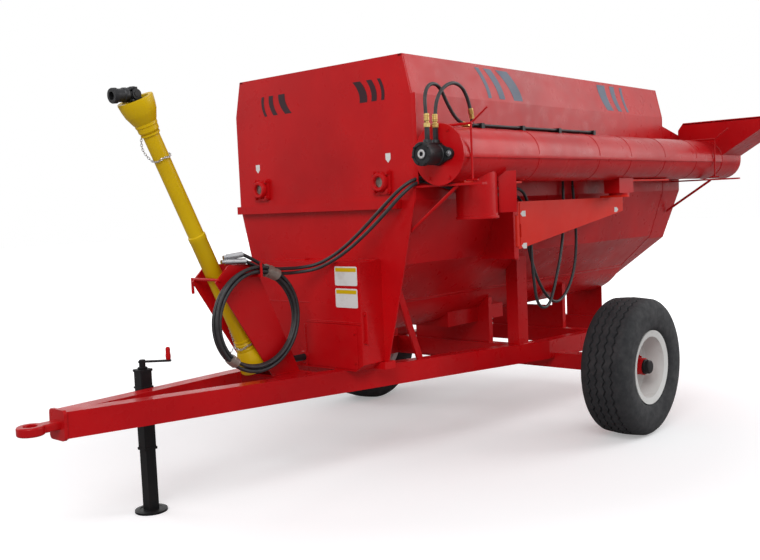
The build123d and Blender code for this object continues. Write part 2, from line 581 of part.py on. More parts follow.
YOKE_REACH, YOKE_R, YOKE_TOP_REACH, YOKE_TOP_TILT = 6.0, 36.0, 24.0, -6.0
YOKE_TOP_LENGTH = 104.0
YOKE_LOW_X, YOKE_LOW_Z = (PTO_LOW[0] - YOKE_REACH * pto_dir[0], PTO_LOW[1] - YOKE_REACH * pto_dir[2])
YOKE_TOP_X = PTO_HIGH[0] + YOKE_TOP_REACH * pto_dir[0]
YOKE_TOP_Z = PTO_HIGH[1] + YOKE_TOP_REACH * pto_dir[2]
STUB_SHAFT_R, SPLINE_R = 20.0, 17.5
with BuildPart() as pto_shaft:
    with BuildSketch(PTO_PLANE.offset(-YOKE_REACH)):
        Circle(PTO_BORE_R)
    extrude(amount=pto_run + YOKE_REACH + YOKE_TOP_REACH)
    with BuildSketch(Plane.XZ.offset(-YOKE_R)):
        with Locations((at(YOKE_LOW_X), YOKE_LOW_Z), (at(YOKE_TOP_X), YOKE_TOP_Z)):
            Circle(YOKE_R)
    extrude(amount=2 * YOKE_R)
    with BuildSketch(across(TUB_FRONT_X + PLATE + CASING_DEPTH)):
        with Locations((0, YOKE_LOW_Z)):
            Circle(STUB_SHAFT_R)
    extrude(amount=YOKE_LOW_X - TUB_FRONT_X - PLATE - CASING_DEPTH)
    with BuildSketch(Plane(origin=(at(YOKE_TOP_X), 0, YOKE_TOP_Z), x_dir=(0, 1, 0),
                           z_dir=(cos(radians(YOKE_TOP_TILT)), 0, sin(radians(YOKE_TOP_TILT))))):
        Circle(YOKE_R - 4)
    extrude(amount=YOKE_TOP_LENGTH)
    with BuildSketch(Plane(origin=(at(YOKE_TOP_X), 0, YOKE_TOP_Z), x_dir=(0, 1, 0),
                           z_dir=(cos(radians(YOKE_TOP_TILT)), 0, sin(radians(YOKE_TOP_TILT))))):
        Circle(SPLINE_R)
    extrude(amount=YOKE_TOP_LENGTH + 1, mode=Mode.SUBTRACT)
pieces["pto_shaft"] = pto_shaft

RETAINER_X, RETAINER_Z = CRADLE_REACH[0] - 17, CRADLE_REACH[1] + 10
RETAINER_R, RETAINER_FIT = 7.0, 0.5
RETAINER_END, RETAINER_DROP = CRADLE_Y + 20, 68.0
HOOK_X, HOOK_R, HOOK_RISE, HOOK_GAP = COIL_X - 8, 6.0, 62.0, 0.5
for side, name in ((1, "cradle_left"), (-1, "cradle_right")):
    with BuildPart() as cradle:
        with BuildSketch(along(side * CRADLE_Y)):
            with BuildLine():
                Polyline(
                    *[(at(x), rail_top(x) - 4) for x in CRADLE_FOOT],
                    *[(at(x), z) for x, z in (CRADLE_REACH, *CRADLE_TOP)], close=True,
                )
            make_face()
        extrude(amount=CRADLE_T / 2, both=True)
        split(bisect_by=DRAWBAR, keep=Keep.TOP)
        if side > 0:
            face_y = CRADLE_Y + CRADLE_T / 2
            rod((at(RETAINER_X), face_y + 8, RETAINER_Z),
                (at(RETAINER_X), -RETAINER_END, RETAINER_Z), RETAINER_R)
            rod((at(RETAINER_X), -RETAINER_END, RETAINER_Z + RETAINER_R),
                (at(RETAINER_X), -RETAINER_END, RETAINER_Z - RETAINER_DROP), RETAINER_R)
            hook_z = COIL_Z + COIL_HALF_Z - COIL_THICK - HOOK_R - HOOK_GAP
            hook_y = COIL_Y + COIL_THICK / 2 + 10
            rod((at(HOOK_X), face_y - 1, hook_z), (at(HOOK_X), hook_y, hook_z), HOOK_R)
            rod((at(HOOK_X), hook_y, hook_z - HOOK_R), (at(HOOK_X), hook_y, hook_z + HOOK_RISE), HOOK_R)
        else:
            with BuildSketch(Plane.XZ):
                with Locations((at(RETAINER_X), RETAINER_Z)):
                    Circle(RETAINER_R + RETAINER_FIT)
            extrude(amount=2 * CRADLE_Y, mode=Mode.SUBTRACT)
    pieces[name] = cradle

# Jack
JACK_Y = -(rail_outer(JACK_X) + 12 + JACK_TUBE / 2)
with BuildPart() as jack_body:
    with BuildSketch(Plane.XY.offset(JACK_TUBE_LOW)):
        with Locations((at(JACK_X), JACK_Y)):
            RectangleRounded(JACK_TUBE, JACK_TUBE, 6)
            Rectangle(JACK_TUBE - 2 * JACK_WALL, JACK_TUBE - 2 * JACK_WALL, mode=Mode.SUBTRACT)
    extrude(amount=JACK_TUBE_TOP - JACK_TUBE_LOW)
    with BuildSketch(Plane.XY.offset(JACK_TUBE_TOP)):
        with Locations((at(JACK_X), JACK_Y)):
            RectangleRounded(JACK_TUBE + 8, JACK_TUBE + 8, 8)
    extrude(amount=10)
    with BuildSketch(Plane.XY.offset(rail_top(JACK_X) - RAIL_H + 10)):
        with Locations((at(JACK_X), JACK_Y + JACK_TUBE / 2)):
            Rectangle(90, 40, align=(Align.CENTER, Align.MIN))
    extrude(amount=RAIL_H - 20)
    add(pieces["rail_right"].part, mode=Mode.SUBTRACT)
pieces["jack_body"] = jack_body

JACK_INNER = JACK_TUBE - 2 * JACK_WALL - 2 * JACK_FIT
with BuildPart() as jack_leg:
    with BuildSketch(Plane.XY.offset(GROUND_Z)):
        with Locations((at(JACK_X), JACK_Y)):
            Circle(JACK_FOOT_R)
    extrude(amount=JACK_FOOT_T)
    with BuildSketch(Plane.XY.offset(JACK_FOOT_T)):
        with Locations((at(JACK_X), JACK_Y)):
            Rectangle(JACK_INNER, JACK_INNER)
    extrude(amount=JACK_TUBE_LOW + 30)
pieces["jack_leg"] = jack_leg

CRANK_REACH, CRANK_KNOB_R, CRANK_KNOB_H = 120.0, 11.0, 62.0
with BuildPart() as jack_crank:
    with BuildSketch(Plane.XY.offset(JACK_TUBE_TOP + 10)):
        with Locations((at(JACK_X), JACK_Y)):
            Circle(14)
    extrude(amount=40)
    crank_turn = Location((at(JACK_X), JACK_Y, JACK_TUBE_TOP + 38), (0, 0, 132))
    with BuildSketch(Plane(crank_turn)):
        with Locations((CRANK_REACH / 2, 0)):
            SlotCenterToCenter(CRANK_REACH, 24)
    extrude(amount=10)
    with BuildSketch(Plane(crank_turn)):
        with Locations((CRANK_REACH, 0)):
            Circle(CRANK_KNOB_R)
    extrude(amount=CRANK_KNOB_H)
pieces["jack_crank"] = jack_crank

# Discharge tube, its end plate, motor and spout; a latch rod hangs over each rest
FRONT_LATCH_X, REAR_LATCH_X = 1380.0, -1448.0
with BuildPart() as discharge_tube:
    with BuildSketch(across(TUBE_REAR_X)):
        with Locations((TUBE_Y, TUBE_Z)):
            Circle(TUBE_R)
            Circle(TUBE_R - TUBE_WALL, mode=Mode.SUBTRACT)
    extrude(amount=TUBE_FRONT_X - TUBE_REAR_X)
    with BuildSketch(Plane.XY.offset(SPOUT_LOW)):
        with Locations((at(SPOUT_X), TUBE_Y)):
            Circle(SPOUT_R - TUBE_WALL)
    extrude(amount=TUBE_Z - SPOUT_LOW, mode=Mode.SUBTRACT)
    lift = TUBE_Z + TUBE_R + LATCH_ROD_R - 3
    latch_y = TUBE_Y + TUBE_R + LATCH_ROD_R + 1
    for x in (FRONT_LATCH_X, REAR_LATCH_X):
        rod((at(x), TUBE_Y - 27, lift), (at(x), latch_y + 9, lift), LATCH_ROD_R)
        rod((at(x), latch_y, lift), (at(x), latch_y, REST_TOP + 13), LATCH_ROD_R - 1)
        rod((at(x), latch_y, lift), (at(x), latch_y + 92, lift + 64), LATCH_ROD_R - 1.5)
        rod((at(x), latch_y - 30, REST_TOP + 13), (at(x), latch_y + 30, REST_TOP + 13), LATCH_ROD_R - 2)
pieces["discharge_tube"] = discharge_tube

with BuildPart() as discharge_spout:
    with BuildSketch(Plane.XY.offset(SPOUT_LOW)):
        with Locations((at(SPOUT_X), TUBE_Y)):
            Circle(SPOUT_R)
            Circle(SPOUT_R - TUBE_WALL, mode=Mode.SUBTRACT)
    extrude(amount=TUBE_Z - SPOUT_LOW)
    with BuildSketch(across(SPOUT_X - 2 * SPOUT_R)):
        with Locations((TUBE_Y, TUBE_Z)):
            Circle(TUBE_R + 0.3)
    extrude(amount=4 * SPOUT_R, mode=Mode.SUBTRACT)
pieces["discharge_spout"] = discharge_spout

END_PLATE, MOTOR_R, MOTOR_LUG = 8.0, 50.0, 72.0
with BuildPart() as tube_end:
    with BuildSketch(across(TUBE_FRONT_X)):
        with Locations((TUBE_Y, TUBE_Z)):
            Circle(TUBE_R + 12)
    extrude(amount=END_PLATE)
pieces["tube_end"] = tube_end

PORT_FRONT_X, PORT_REAR_X, PORT_TOP = 1528.0, 1467.0, 1700.0
with BuildPart() as tube_motor:
    with BuildSketch(across(TUBE_FRONT_X + END_PLATE)):
        with Locations((TUBE_Y, TUBE_Z)):
            Circle(MOTOR_R)
            with Locations((MOTOR_LUG, 0), (-MOTOR_LUG, 0)):
                Circle(20)
            Rectangle(2 * MOTOR_LUG, 40)
    extrude(amount=20)
    with BuildSketch(across(TUBE_FRONT_X + END_PLATE + 20)):
        with Locations((TUBE_Y, TUBE_Z)):
            Circle(MOTOR_R)
    extrude(amount=84)
    with BuildSketch(across(TUBE_FRONT_X + END_PLATE + 104)):
        with Locations((TUBE_Y, TUBE_Z)):
            Circle(MOTOR_R + 4)
            Circle(26, mode=Mode.SUBTRACT)
    extrude(amount=22)
    with BuildSketch(Plane.XY.offset(TUBE_Z)):
        with Locations((at(PORT_FRONT_X), TUBE_Y), (at(PORT_REAR_X), TUBE_Y)):
            RegularPolygon(13, 6)
    extrude(amount=PORT_TOP - TUBE_Z)
pieces["tube_motor"] = tube_motor

# Inlet hopper: a trough under a mouth that flares away from the tub
HOPPER_WALL = 4.0
HOPPER_TOP, HOPPER_CORNER, HOPPER_FOLD = 1850.0, 1800.0, 1770.0
HOPPER_IN, HOPPER_OUT, HOPPER_CHAMFER = 614.0, 1200.0, 38.0
TROUGH_TOP = TUBE_Z + 28.0


def hopper_section(inset):
    """Outline of the inlet hopper across the wagon, inset from its outer face."""
    with BuildSketch(Plane.XY) as outline:
        with BuildLine():
            Polyline(
                (TUBE_Y - TUBE_R, TUBE_Z), (TUBE_Y - TUBE_R, TROUGH_TOP), (HOPPER_IN, TROUGH_TOP + 50),
                (HOPPER_IN, HOPPER_CORNER), (HOPPER_IN + HOPPER_CHAMFER, HOPPER_TOP),
                (HOPPER_OUT, HOPPER_TOP), (HOPPER_OUT, HOPPER_FOLD), (TUBE_Y + TUBE_R, TROUGH_TOP),
                (TUBE_Y + TUBE_R, TUBE_Z),
            )
            ThreePointArc(
                (TUBE_Y + TUBE_R, TUBE_Z), (TUBE_Y, TUBE_Z - TUBE_R), (TUBE_Y - TUBE_R, TUBE_Z)
            )
        make_face()
        if inset:
            offset(amount=-inset, kind=Kind.INTERSECTION)
            with Locations((HOPPER_OUT - inset, HOPPER_TOP - inset)):
                Rectangle(HOPPER_OUT - HOPPER_IN - HOPPER_CHAMFER - inset, 3 * inset,
                          align=(Align.MAX, Align.MIN))
    return outline.sketch


with BuildPart() as inlet_hopper:
    with BuildSketch(across(HOPPER_REAR_X)):
        add(hopper_section(0))
    extrude(amount=TUBE_REAR_X - HOPPER_REAR_X)
    with BuildSketch(across(HOPPER_REAR_X + HOPPER_WALL)):
        add(hopper_section(HOPPER_WALL))
    extrude(amount=TUBE_REAR_X - HOPPER_REAR_X - 2 * HOPPER_WALL, mode=Mode.SUBTRACT)
    with BuildSketch(across(TUBE_REAR_X - 2 * HOPPER_WALL)):
        with Locations((TUBE_Y, TUBE_Z)):
            Circle(TUBE_R - TUBE_WALL)
    extrude(amount=3 * HOPPER_WALL, mode=Mode.SUBTRACT)
    with BuildSketch(across(HOPPER_REAR_X)):
        with Locations((TUBE_Y, TUBE_Z)):
            Circle(SCREW_STUB_R + SCREW_FIT)
    extrude(amount=HOPPER_WALL, mode=Mode.SUBTRACT)
pieces["inlet_hopper"] = inlet_hopper

with BuildPart() as discharge_screw:
    screw_end = Plane(
        origin=(at(HOPPER_REAR_X + HOPPER_WALL + SCREW_GAP), TUBE_Y, TUBE_Z),
        x_dir=(0, 1, 0), z_dir=(1, 0, 0),
    )
    with BuildSketch(screw_end):
        Circle(SCREW_SHAFT_R)
    extrude(amount=TUBE_FRONT_X - HOPPER_REAR_X - HOPPER_WALL - 2 * SCREW_GAP)
    flighting(screw_end.offset(SCREW_GAP), SCREW_SHAFT_R, SCREW_R, SCREW_PITCH, SCREW_TURNS)
    with BuildSketch(screw_end.offset(-SCREW_GAP - HOPPER_WALL - SCREW_PROUD)):
        Circle(SCREW_STUB_R)
    extrude(amount=SCREW_GAP + HOPPER_WALL + SCREW_PROUD)
pieces["discharge_screw"] = discharge_screw

# Swing arm with its hinge and the swivel under the tube
KNUCKLE_H, KNUCKLE_GAP = 60.0, 2.0
BRACKET_SETBACK, BRACKET_T = 22.0, 12.0
with BuildPart() as hinge_bracket:
    with BuildSketch(Plane.XY.offset(HINGE_LOW)):
        with Locations((at(HINGE_X) + BRACKET_SETBACK, KNEE_HALF - 20)):
            Rectangle(BRACKET_T, HINGE_Y + HINGE_R - KNEE_HALF + 20, align=(Align.MIN, Align.MIN))
    extrude(amount=HINGE_TOP - HINGE_LOW)
    for knuckle_z in (HINGE_LOW, HINGE_TOP - KNUCKLE_H):
        with BuildSketch(Plane.XY.offset(knuckle_z)):
            with Locations((at(HINGE_X), HINGE_Y)):
                Circle(HINGE_R)
                Rectangle(BRACKET_SETBACK + 2, 2 * HINGE_R, align=(Align.MIN, Align.CENTER))
        extrude(amount=KNUCKLE_H)
    with BuildSketch(Plane.XY.offset(HINGE_LOW)):
        with Locations((at(HINGE_X), HINGE_Y)):
            Circle(HINGE_PIN_R)
    extrude(amount=HINGE_TOP - HINGE_LOW)
    with BuildSketch(across(HINGE_X - 60)):
        add(tub_section(0))
    extrude(amount=200, mode=Mode.SUBTRACT)
pieces["hinge_bracket"] = hinge_bracket

ARM_LOW = HINGE_LOW + KNUCKLE_H + KNUCKLE_GAP
ARM_HIGH = HINGE_TOP - KNUCKLE_H - KNUCKLE_GAP
ARM_STEP_X = HINGE_X - HINGE_R - 6
with BuildPart() as swing_arm:
    with BuildSketch(Plane.XY.offset(ARM_LOW)):
        with Locations((at(HINGE_X), HINGE_Y)):
            Circle(HINGE_R)
    extrude(amount=ARM_HIGH - ARM_LOW)
    with BuildSketch(along(HINGE_Y)):
        with BuildLine():
            Polyline(
                (at(HINGE_X - 2), ARM_LOW), (at(HINGE_X - 2), ARM_HIGH), (at(ARM_STEP_X), ARM_HIGH),
                (at(ARM_STEP_X), ARM_TOP), (at(ARM_END_X), ARM_TOP),
                (at(ARM_END_X), ARM_TOP - ARM_TIP_H), (at(ARM_STEP_X), ARM_TOP - ARM_ROOT_H),
                (at(ARM_STEP_X), ARM_LOW), close=True,
            )
        make_face()
    extrude(amount=ARM_PLATE / 2, both=True)
    with BuildSketch(Plane.XY.offset(HINGE_LOW)):
        with Locations((at(HINGE_X), HINGE_Y)):
            Circle(HINGE_PIN_R + HINGE_FIT)
    extrude(amount=HINGE_TOP - HINGE_LOW, mode=Mode.SUBTRACT)
    with BuildSketch(along(HINGE_Y)):
        with Locations((at(ARM_STEP_X - 18), (ARM_LOW + ARM_HIGH) / 2)):
            SlotOverall(76, 16, rotation=90)
    extrude(amount=ARM_PLATE, both=True, mode=Mode.SUBTRACT)
    with BuildSketch(Plane.XY.offset(ARM_TOP)):
        with Locations((at(SWIVEL_X), TUBE_Y)):
            Circle(60)
        with Locations((at(SWIVEL_X), HINGE_Y - ARM_PLATE / 2)):
            Rectangle(120, TUBE_Y - HINGE_Y + ARM_PLATE / 2, align=(Align.CENTER, Align.MIN))
    extrude(amount=12)
pieces["swing_arm"] = swing_arm

SWIVEL_GAP = 0.3
with BuildPart() as tube_pivot:
    with BuildSketch(Plane.XY.offset(ARM_TOP + 12 + SWIVEL_GAP)):
        with Locations((at(SWIVEL_X), TUBE_Y)):
            Circle(60)
    extrude(amount=12)
    with BuildSketch(across(SWIVEL_X - 90)):
        with Locations((TUBE_Y, ARM_TOP + 24 + SWIVEL_GAP)):
            Rectangle(100, 120, align=(Align.CENTER, Align.MIN))
        with Locations((TUBE_Y, TUBE_Z)):
            Circle(TUBE_R + 0.3, mode=Mode.SUBTRACT)
    extrude(amount=180)
pieces["tube_pivot"] = tube_pivot

# Rests that the discharge tube lies over, with their braces, and the plate that ends the hoses
FRONT_REST_X, FRONT_REST_END = 1405.0, 1020.0
REAR_REST_X, REAR_REST_END = -1450.0, 1100.0
with BuildPart() as tube_rests:
    for x, reach, brace_out, brace_z in (
        (FRONT_REST_X, FRONT_REST_END, 871.0, 1231.0),
        (REAR_REST_X, REAR_REST_END, 905.0, 1240.0),
    ):
        with BuildSketch(Plane.XY.offset(REST_TOP - REST_T)):
            with Locations((at(x), WIDE_HALF)):
                Rectangle(REST_W, reach - WIDE_HALF, align=(Align.CENTER, Align.MIN))
        extrude(amount=REST_T)
        rod((at(x), brace_out, REST_TOP - REST_T + 2), (at(x), KNEE_HALF, brace_z - 40), REST_ROD_R)
    with BuildSketch(across(BULKHEAD_X)):
        with Locations((WIDE_HALF, REST_TOP - 4)):
            Rectangle(66, 72, align=(Align.MIN, Align.MAX))
    extrude(amount=BULKHEAD_T)
    with BuildSketch(across(TUB_REAR_X - 300)):
        add(tub_section(0))
    extrude(amount=TUB_FRONT_X - TUB_REAR_X + 300, mode=Mode.SUBTRACT)
pieces["tube_rests"] = tube_rests

# Steel pipes along the tube's top, clamped to it, that bend down behind it
with BuildPart() as tube_pipes:
    for y, x_front, x_turn in ((778.0, 1178.0, 90.0), (815.0, 1199.0, -20.0)):
        with BuildLine() as pipe_line:
            FilletPolyline(
                (at(x_front), y, PIPE_Z), (at(x_turn), y, PIPE_Z), (at(x_turn), PIPE_BACK_Y, PIPE_Z),
                (at(x_turn), PIPE_BACK_Y, PIPE_LOW_Z), radius=PIPE_BEND,
            )
        with BuildSketch(Plane(origin=(at(x_front), y, PIPE_Z), z_dir=(-1, 0, 0))):
            Circle(PIPE_R)
        sweep(path=pipe_line.line)
    rod((at(1199.0), 815.0, PIPE_Z - PIPE_R), (at(1199.0), 815.0, PIPE_Z + 28), HOSE_D / 2)
    for x in (1120.0, 760.0, 400.0, 20.0):
        with BuildSketch(across(x)):
            with Locations((TUBE_Y - 3, TUBE_Z + TUBE_R - 6)):
                Rectangle(70, 28, align=(Align.CENTER, Align.MIN))
            with Locations((TUBE_Y, TUBE_Z)):
                Circle(TUBE_R, mode=Mode.SUBTRACT)
        extrude(amount=24)
pieces["tube_pipes"] = tube_pipes

# Quick couplers that lie on the cradle's top edge, one on the other
COUPLER_R, COUPLER_TIP = 14.0, 18.0
COUPLER_REAR_Y = CRADLE_Y + 15
COUPLER_Z = CRADLE_TOP[0][1] + 11
LOW_COUPLER, HIGH_COUPLER = (2036.0, COUPLER_Z), (2052.0, COUPLER_Z + 33)
with BuildPart() as couplers:
    for rear, front, tip_r in (
        (LOW_COUPLER, (2140.0, COUPLER_Z + 4), 10),
        (HIGH_COUPLER, (2126.0, COUPLER_Z + 25), 11),
    ):
        start = Vector(at(rear[0]), COUPLER_REAR_Y, rear[1])
        end = Vector(at(front[0]), CRADLE_Y - 6, front[1])
        rod(start, end, COUPLER_R)
        rod(end, end + (end - start).normalized() * COUPLER_TIP, tip_r)
    add(pieces["cradle_left"].part, mode=Mode.SUBTRACT)
pieces["couplers"] = couplers

# Coil of the two hoses, hung on the cradle's hook, with their tails up to the couplers
with BuildPart() as hose_coil:
    with BuildSketch(along(COIL_Y + COIL_THICK / 2)):
        with Locations((at(COIL_X), COIL_Z)):
            Ellipse(COIL_HALF_X, COIL_HALF_Z)
            Ellipse(COIL_HALF_X - COIL_THICK, COIL_HALF_Z - COIL_THICK, mode=Mode.SUBTRACT)
    extrude(amount=COIL_THICK)
    for (x, z), shift in ((LOW_COUPLER, -8), (HIGH_COUPLER, 8)):
        rod((at(x), COUPLER_REAR_Y, z), (at(COIL_X - 98), COIL_Y + shift, COIL_Z + 212), HOSE_D / 2)
pieces["hose_coil"] = hose_coil


def hose(label, route):
    """A hose's tube: straight runs joined by tangent arcs as large as the runs allow."""
    points = [Vector(at(x), y, z) for x, y, z in route]
    radii = []
    for before, corner, after in zip(points, points[1:], points[2:]):
        turn = radians((corner - before).get_angle(after - corner))
        radii.append(0.45 * min((corner - before).length, (after - corner).length) / tan(turn / 2))
    with BuildPart() as tube:
        with BuildLine() as line:
            FilletPolyline(*points, radius=radii)
        path = line.wire()
        with BuildSketch(Plane(origin=points[0], z_dir=points[1] - points[0])):
            Circle(HOSE_D / 2)
        sweep(path=path)
    wanted = pi * HOSE_D ** 2 / 4 * path.length
    print(label, "length", round(path.length), "volume share", round(tube.part.volume / wanted, 4),
          "radii", [round(radius) for radius in radii])
    return tube


# Routes of the hoses: x from the axle, y, z
PORT_END, PIPE_START = (PORT_FRONT_X, TUBE_Y, PORT_TOP), (1178.0, 778.0, PIPE_Z)
hose_routes = {
    "hose_supply_upper": (
        (1905, 124, 1074), (1800, 112, 1078), (1700, 114, 1070), (1622, 165, 1082), (1568, 270, 1146),
        (1535, 400, 1255), (1510, 515, 1362), (1480, 605, 1446), (1420, 652, 1484), (1320, 655, 1478),
        (1190, 660, 1456), (1040, 668, 1436), (900, 674, 1424), (770, 680, 1421), (658, 684, 1425),
    ),
    "hose_supply_lower": (
        (1905, 112, 1054), (1800, 102, 1054), (1712, 108, 1049), (1640, 178, 1060), (1592, 300, 1126),
        (1552, 428, 1228), (1522, 532, 1326), (1490, 614, 1414), (1430, 654, 1464), (1325, 647, 1460),
        (1190, 648, 1432), (1040, 650, 1406), (900, 652, 1391), (770, 654, 1388), (658, 656, 1392),
    ),
    "hose_motor_front": (
        PORT_END, (1532, 799, 1772), (1530, 795, 1842), (1499, 789, 1888), (1446, 784, 1906),
        (1392, 781, 1887), (1338, 779, 1813), (1285, 778, 1759), (1233, 778, 1730), PIPE_START,
    ),
    "hose_motor_rear": (
        (PORT_REAR_X, TUBE_Y, PORT_TOP), (1466, 801, 1772), (1449, 804, 1840), (1399, 808, 1892),
        (1329, 811, 1915), (1262, 813, 1894), (1225, 814, 1839), (1208, 815, 1790), (1199, 815, PIPE_Z + 28),
    ),
    "hose_loop_front": (
        (648.5, 684, 1424), (575, 684, 1411), (522, 682, 1350), (504, 680, 1225), (492, 678, 1085),
        (482, 677, 975), (466, 676, 880), (446, 675, 792), (383, 674, 742), (303, 672, 762),
        (255, 671, 840), (212, 669, 925), (166, 666, 1015), (120, 660, 1140), (94, 654, 1285),
        (90, PIPE_BACK_Y, 1429.3),
    ),
    "hose_loop_rear": (
        (648.8, 656, 1392), (576, 654, 1382), (512, 650, 1320), (488, 646, 1205), (452, 640, 1060),
        (383, 636, 928), (283, 634, 812), (165, 634, 754), (42, 636, 812), (-38, 640, 932),
        (-62, 645, 1090), (-42, 650, 1262), (-20, PIPE_BACK_Y, 1429),
    ),
}
for label, route in hose_routes.items():
    pieces[label] = hose(label, route)

os.makedirs("parts", exist_ok=True)
for label, piece in pieces.items():
    piece.part.label = label
    export_step(piece.part, f"parts/{label}.step")
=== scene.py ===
"""Dresses the feed mixer wagon: a red tub on a sloping drawbar with a side discharge tube.

Everything is in metres in the wagon's own frame: +X to the hitch, +Y to the wagon's left, +Z up.
The sizes of the classes give X as a length from the axle, which stands at AXLE_X.
"""
from __future__ import annotations

import json
import logging
import math
from dataclasses import dataclass, field
from enum import Enum

import bmesh
import bpy
from mathutils import Matrix, Quaternion, Vector

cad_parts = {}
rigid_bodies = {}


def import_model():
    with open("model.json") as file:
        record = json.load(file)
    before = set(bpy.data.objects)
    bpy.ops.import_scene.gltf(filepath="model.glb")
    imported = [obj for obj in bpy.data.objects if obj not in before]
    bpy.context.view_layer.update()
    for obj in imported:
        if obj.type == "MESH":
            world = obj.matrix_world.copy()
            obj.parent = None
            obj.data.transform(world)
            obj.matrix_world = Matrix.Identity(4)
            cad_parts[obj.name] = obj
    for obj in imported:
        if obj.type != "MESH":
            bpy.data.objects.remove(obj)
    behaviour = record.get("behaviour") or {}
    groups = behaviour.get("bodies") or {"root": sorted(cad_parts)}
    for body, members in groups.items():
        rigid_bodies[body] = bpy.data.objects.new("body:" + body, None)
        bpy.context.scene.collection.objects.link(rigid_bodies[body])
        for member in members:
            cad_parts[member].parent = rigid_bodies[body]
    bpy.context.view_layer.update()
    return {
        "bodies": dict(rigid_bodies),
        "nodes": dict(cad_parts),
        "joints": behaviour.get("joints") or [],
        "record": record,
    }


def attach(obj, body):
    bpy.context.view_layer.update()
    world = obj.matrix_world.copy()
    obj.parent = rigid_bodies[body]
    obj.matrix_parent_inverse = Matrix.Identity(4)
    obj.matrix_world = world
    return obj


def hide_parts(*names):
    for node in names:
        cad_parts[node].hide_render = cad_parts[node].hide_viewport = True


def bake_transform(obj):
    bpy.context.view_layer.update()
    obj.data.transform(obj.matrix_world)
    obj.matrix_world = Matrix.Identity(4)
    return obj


LOG = logging.getLogger("wagon")
AXLE_X = -0.595


class Body(str, Enum):
    """The bodies that move apart from each other."""

    CHASSIS = "chassis"
    WHEEL_LEFT = "wheel_left"
    WHEEL_RIGHT = "wheel_right"
    JACK = "jack"
    DOOR = "door"
    ARM = "arm"
    DISCHARGE = "discharge"


def from_axle(x: float) -> float:
    """Returns the model's X of a place measured from the axle."""
    return AXLE_X + x


@dataclass(frozen=True)
class Shader:
    """A node material under construction, with short ways to add and join its nodes."""

    material: bpy.types.Material

    @classmethod
    def named(cls, name: str) -> Shader:
        """Starts a shader on a new material.

        Args:
            name: The material's name.

        Returns:
            The shader.
        """
        material = bpy.data.materials.new(name)
        material.use_nodes = True
        return cls(material)

    @property
    def principled(self) -> bpy.types.Node:
        """The material's main shading node."""
        return self.material.node_tree.nodes["Principled BSDF"]

    def add(self, kind: str, **values: object) -> bpy.types.Node:
        """Adds a node.

        Args:
            kind: Blender's node type, such as ShaderNodeMix.
            values: Attributes of the node, such as data_type.

        Returns:
            The new node.
        """
        node = self.material.node_tree.nodes.new(kind)
        for key, value in values.items():
            setattr(node, key, value)
        return node

    def join(self, out: bpy.types.NodeSocket, into: bpy.types.NodeSocket) -> None:
        """Links one socket to another."""
        self.material.node_tree.links.new(out, into)

    def coordinates(self, stretch: tuple[float, float, float] = (1, 1, 1)) -> bpy.types.NodeSocket:
        """Gives the place on the object.

        Args:
            stretch: Stretch along each axis.

        Returns:
            The stretched object coordinates.
        """
        place = self.add("ShaderNodeTexCoord")
        mapping = self.add("ShaderNodeMapping")
        mapping.inputs["Scale"].default_value = stretch
        self.join(place.outputs["Object"], mapping.inputs["Vector"])
        return mapping.outputs["Vector"]

    def noise(self, scale: float, detail: float = 4, stretch: tuple[float, float, float] = (1, 1, 1),
              roughness: float = 0.5) -> bpy.types.NodeSocket:
        """Returns a noise value on object coordinates.

        Args:
            scale: Cells to the metre.
            detail: Octaves.
            stretch: Stretch of the coordinates, to draw streaks.
            roughness: Strength of the finer octaves.

        Returns:
            The noise's factor socket.
        """
        noise = self.add("ShaderNodeTexNoise")
        noise.inputs["Scale"].default_value = scale
        noise.inputs["Detail"].default_value = detail
        noise.inputs["Roughness"].default_value = roughness
        self.join(self.coordinates(stretch), noise.inputs["Vector"])
        return noise.outputs["Fac"]

    def band(self, value: bpy.types.NodeSocket, low: float, high: float, to_low: float = 0.0,
             to_high: float = 1.0) -> bpy.types.NodeSocket:
        """Maps a value from one range to another, clamped.

        Args:
            value: The socket to map.
            low: The value that becomes to_low.
            high: The value that becomes to_high.
            to_low: Result at low.
            to_high: Result at high.

        Returns:
            The mapped socket.
        """
        node = self.add("ShaderNodeMapRange")
        self.join(value, node.inputs["Value"])
        for key, number in (("From Min", low), ("From Max", high), ("To Min", to_low), ("To Max", to_high)):
            node.inputs[key].default_value = number
        return node.outputs["Result"]

    def mix(self, factor: bpy.types.NodeSocket | float, a: object, b: object,
            blend: str = "MIX") -> bpy.types.NodeSocket:
        """Mixes two colours.

        Args:
            factor: Share of the second colour.
            a: First colour, a socket or four numbers.
            b: Second colour, a socket or four numbers.
            blend: Blender's blend type.

        Returns:
            The mixed colour socket.
        """
        node = self.add("ShaderNodeMix", data_type="RGBA", blend_type=blend)
        for value, socket in ((factor, node.inputs[0]), (a, node.inputs[6]), (b, node.inputs[7])):
            if isinstance(value, bpy.types.NodeSocket):
                self.join(value, socket)
            else:
                socket.default_value = value
        return node.outputs[2]

    def bump(self, height: bpy.types.NodeSocket, strength: float, distance: float) -> None:
        """Gives the surface a relief.

        Args:
            height: The socket with the relief's height, from 0 to 1.
            strength: How much of it is seen.
            distance: Its full height in metres.
        """
        node = self.add("ShaderNodeBump")
        node.inputs["Strength"].default_value = strength
        node.inputs["Distance"].default_value = distance
        self.join(height, node.inputs["Height"])
        self.join(node.outputs["Normal"], self.principled.inputs["Normal"])


def colour(red: float, green: float, blue: float) -> tuple[float, float, float, float]:
    """Turns a display colour into a linear one.

    Args:
        red: Red, from 0 to 255.
        green: Green, from 0 to 255.
        blue: Blue, from 0 to 255.

    Returns:
        The linear colour with full opacity.
    """
    def linear(value: float) -> float:
        """Returns one channel made linear."""
        share = value / 255
        return share / 12.92 if share <= 0.04045 else ((share + 0.055) / 1.055) ** 2.4

    return (linear(red), linear(green), linear(blue), 1.0)


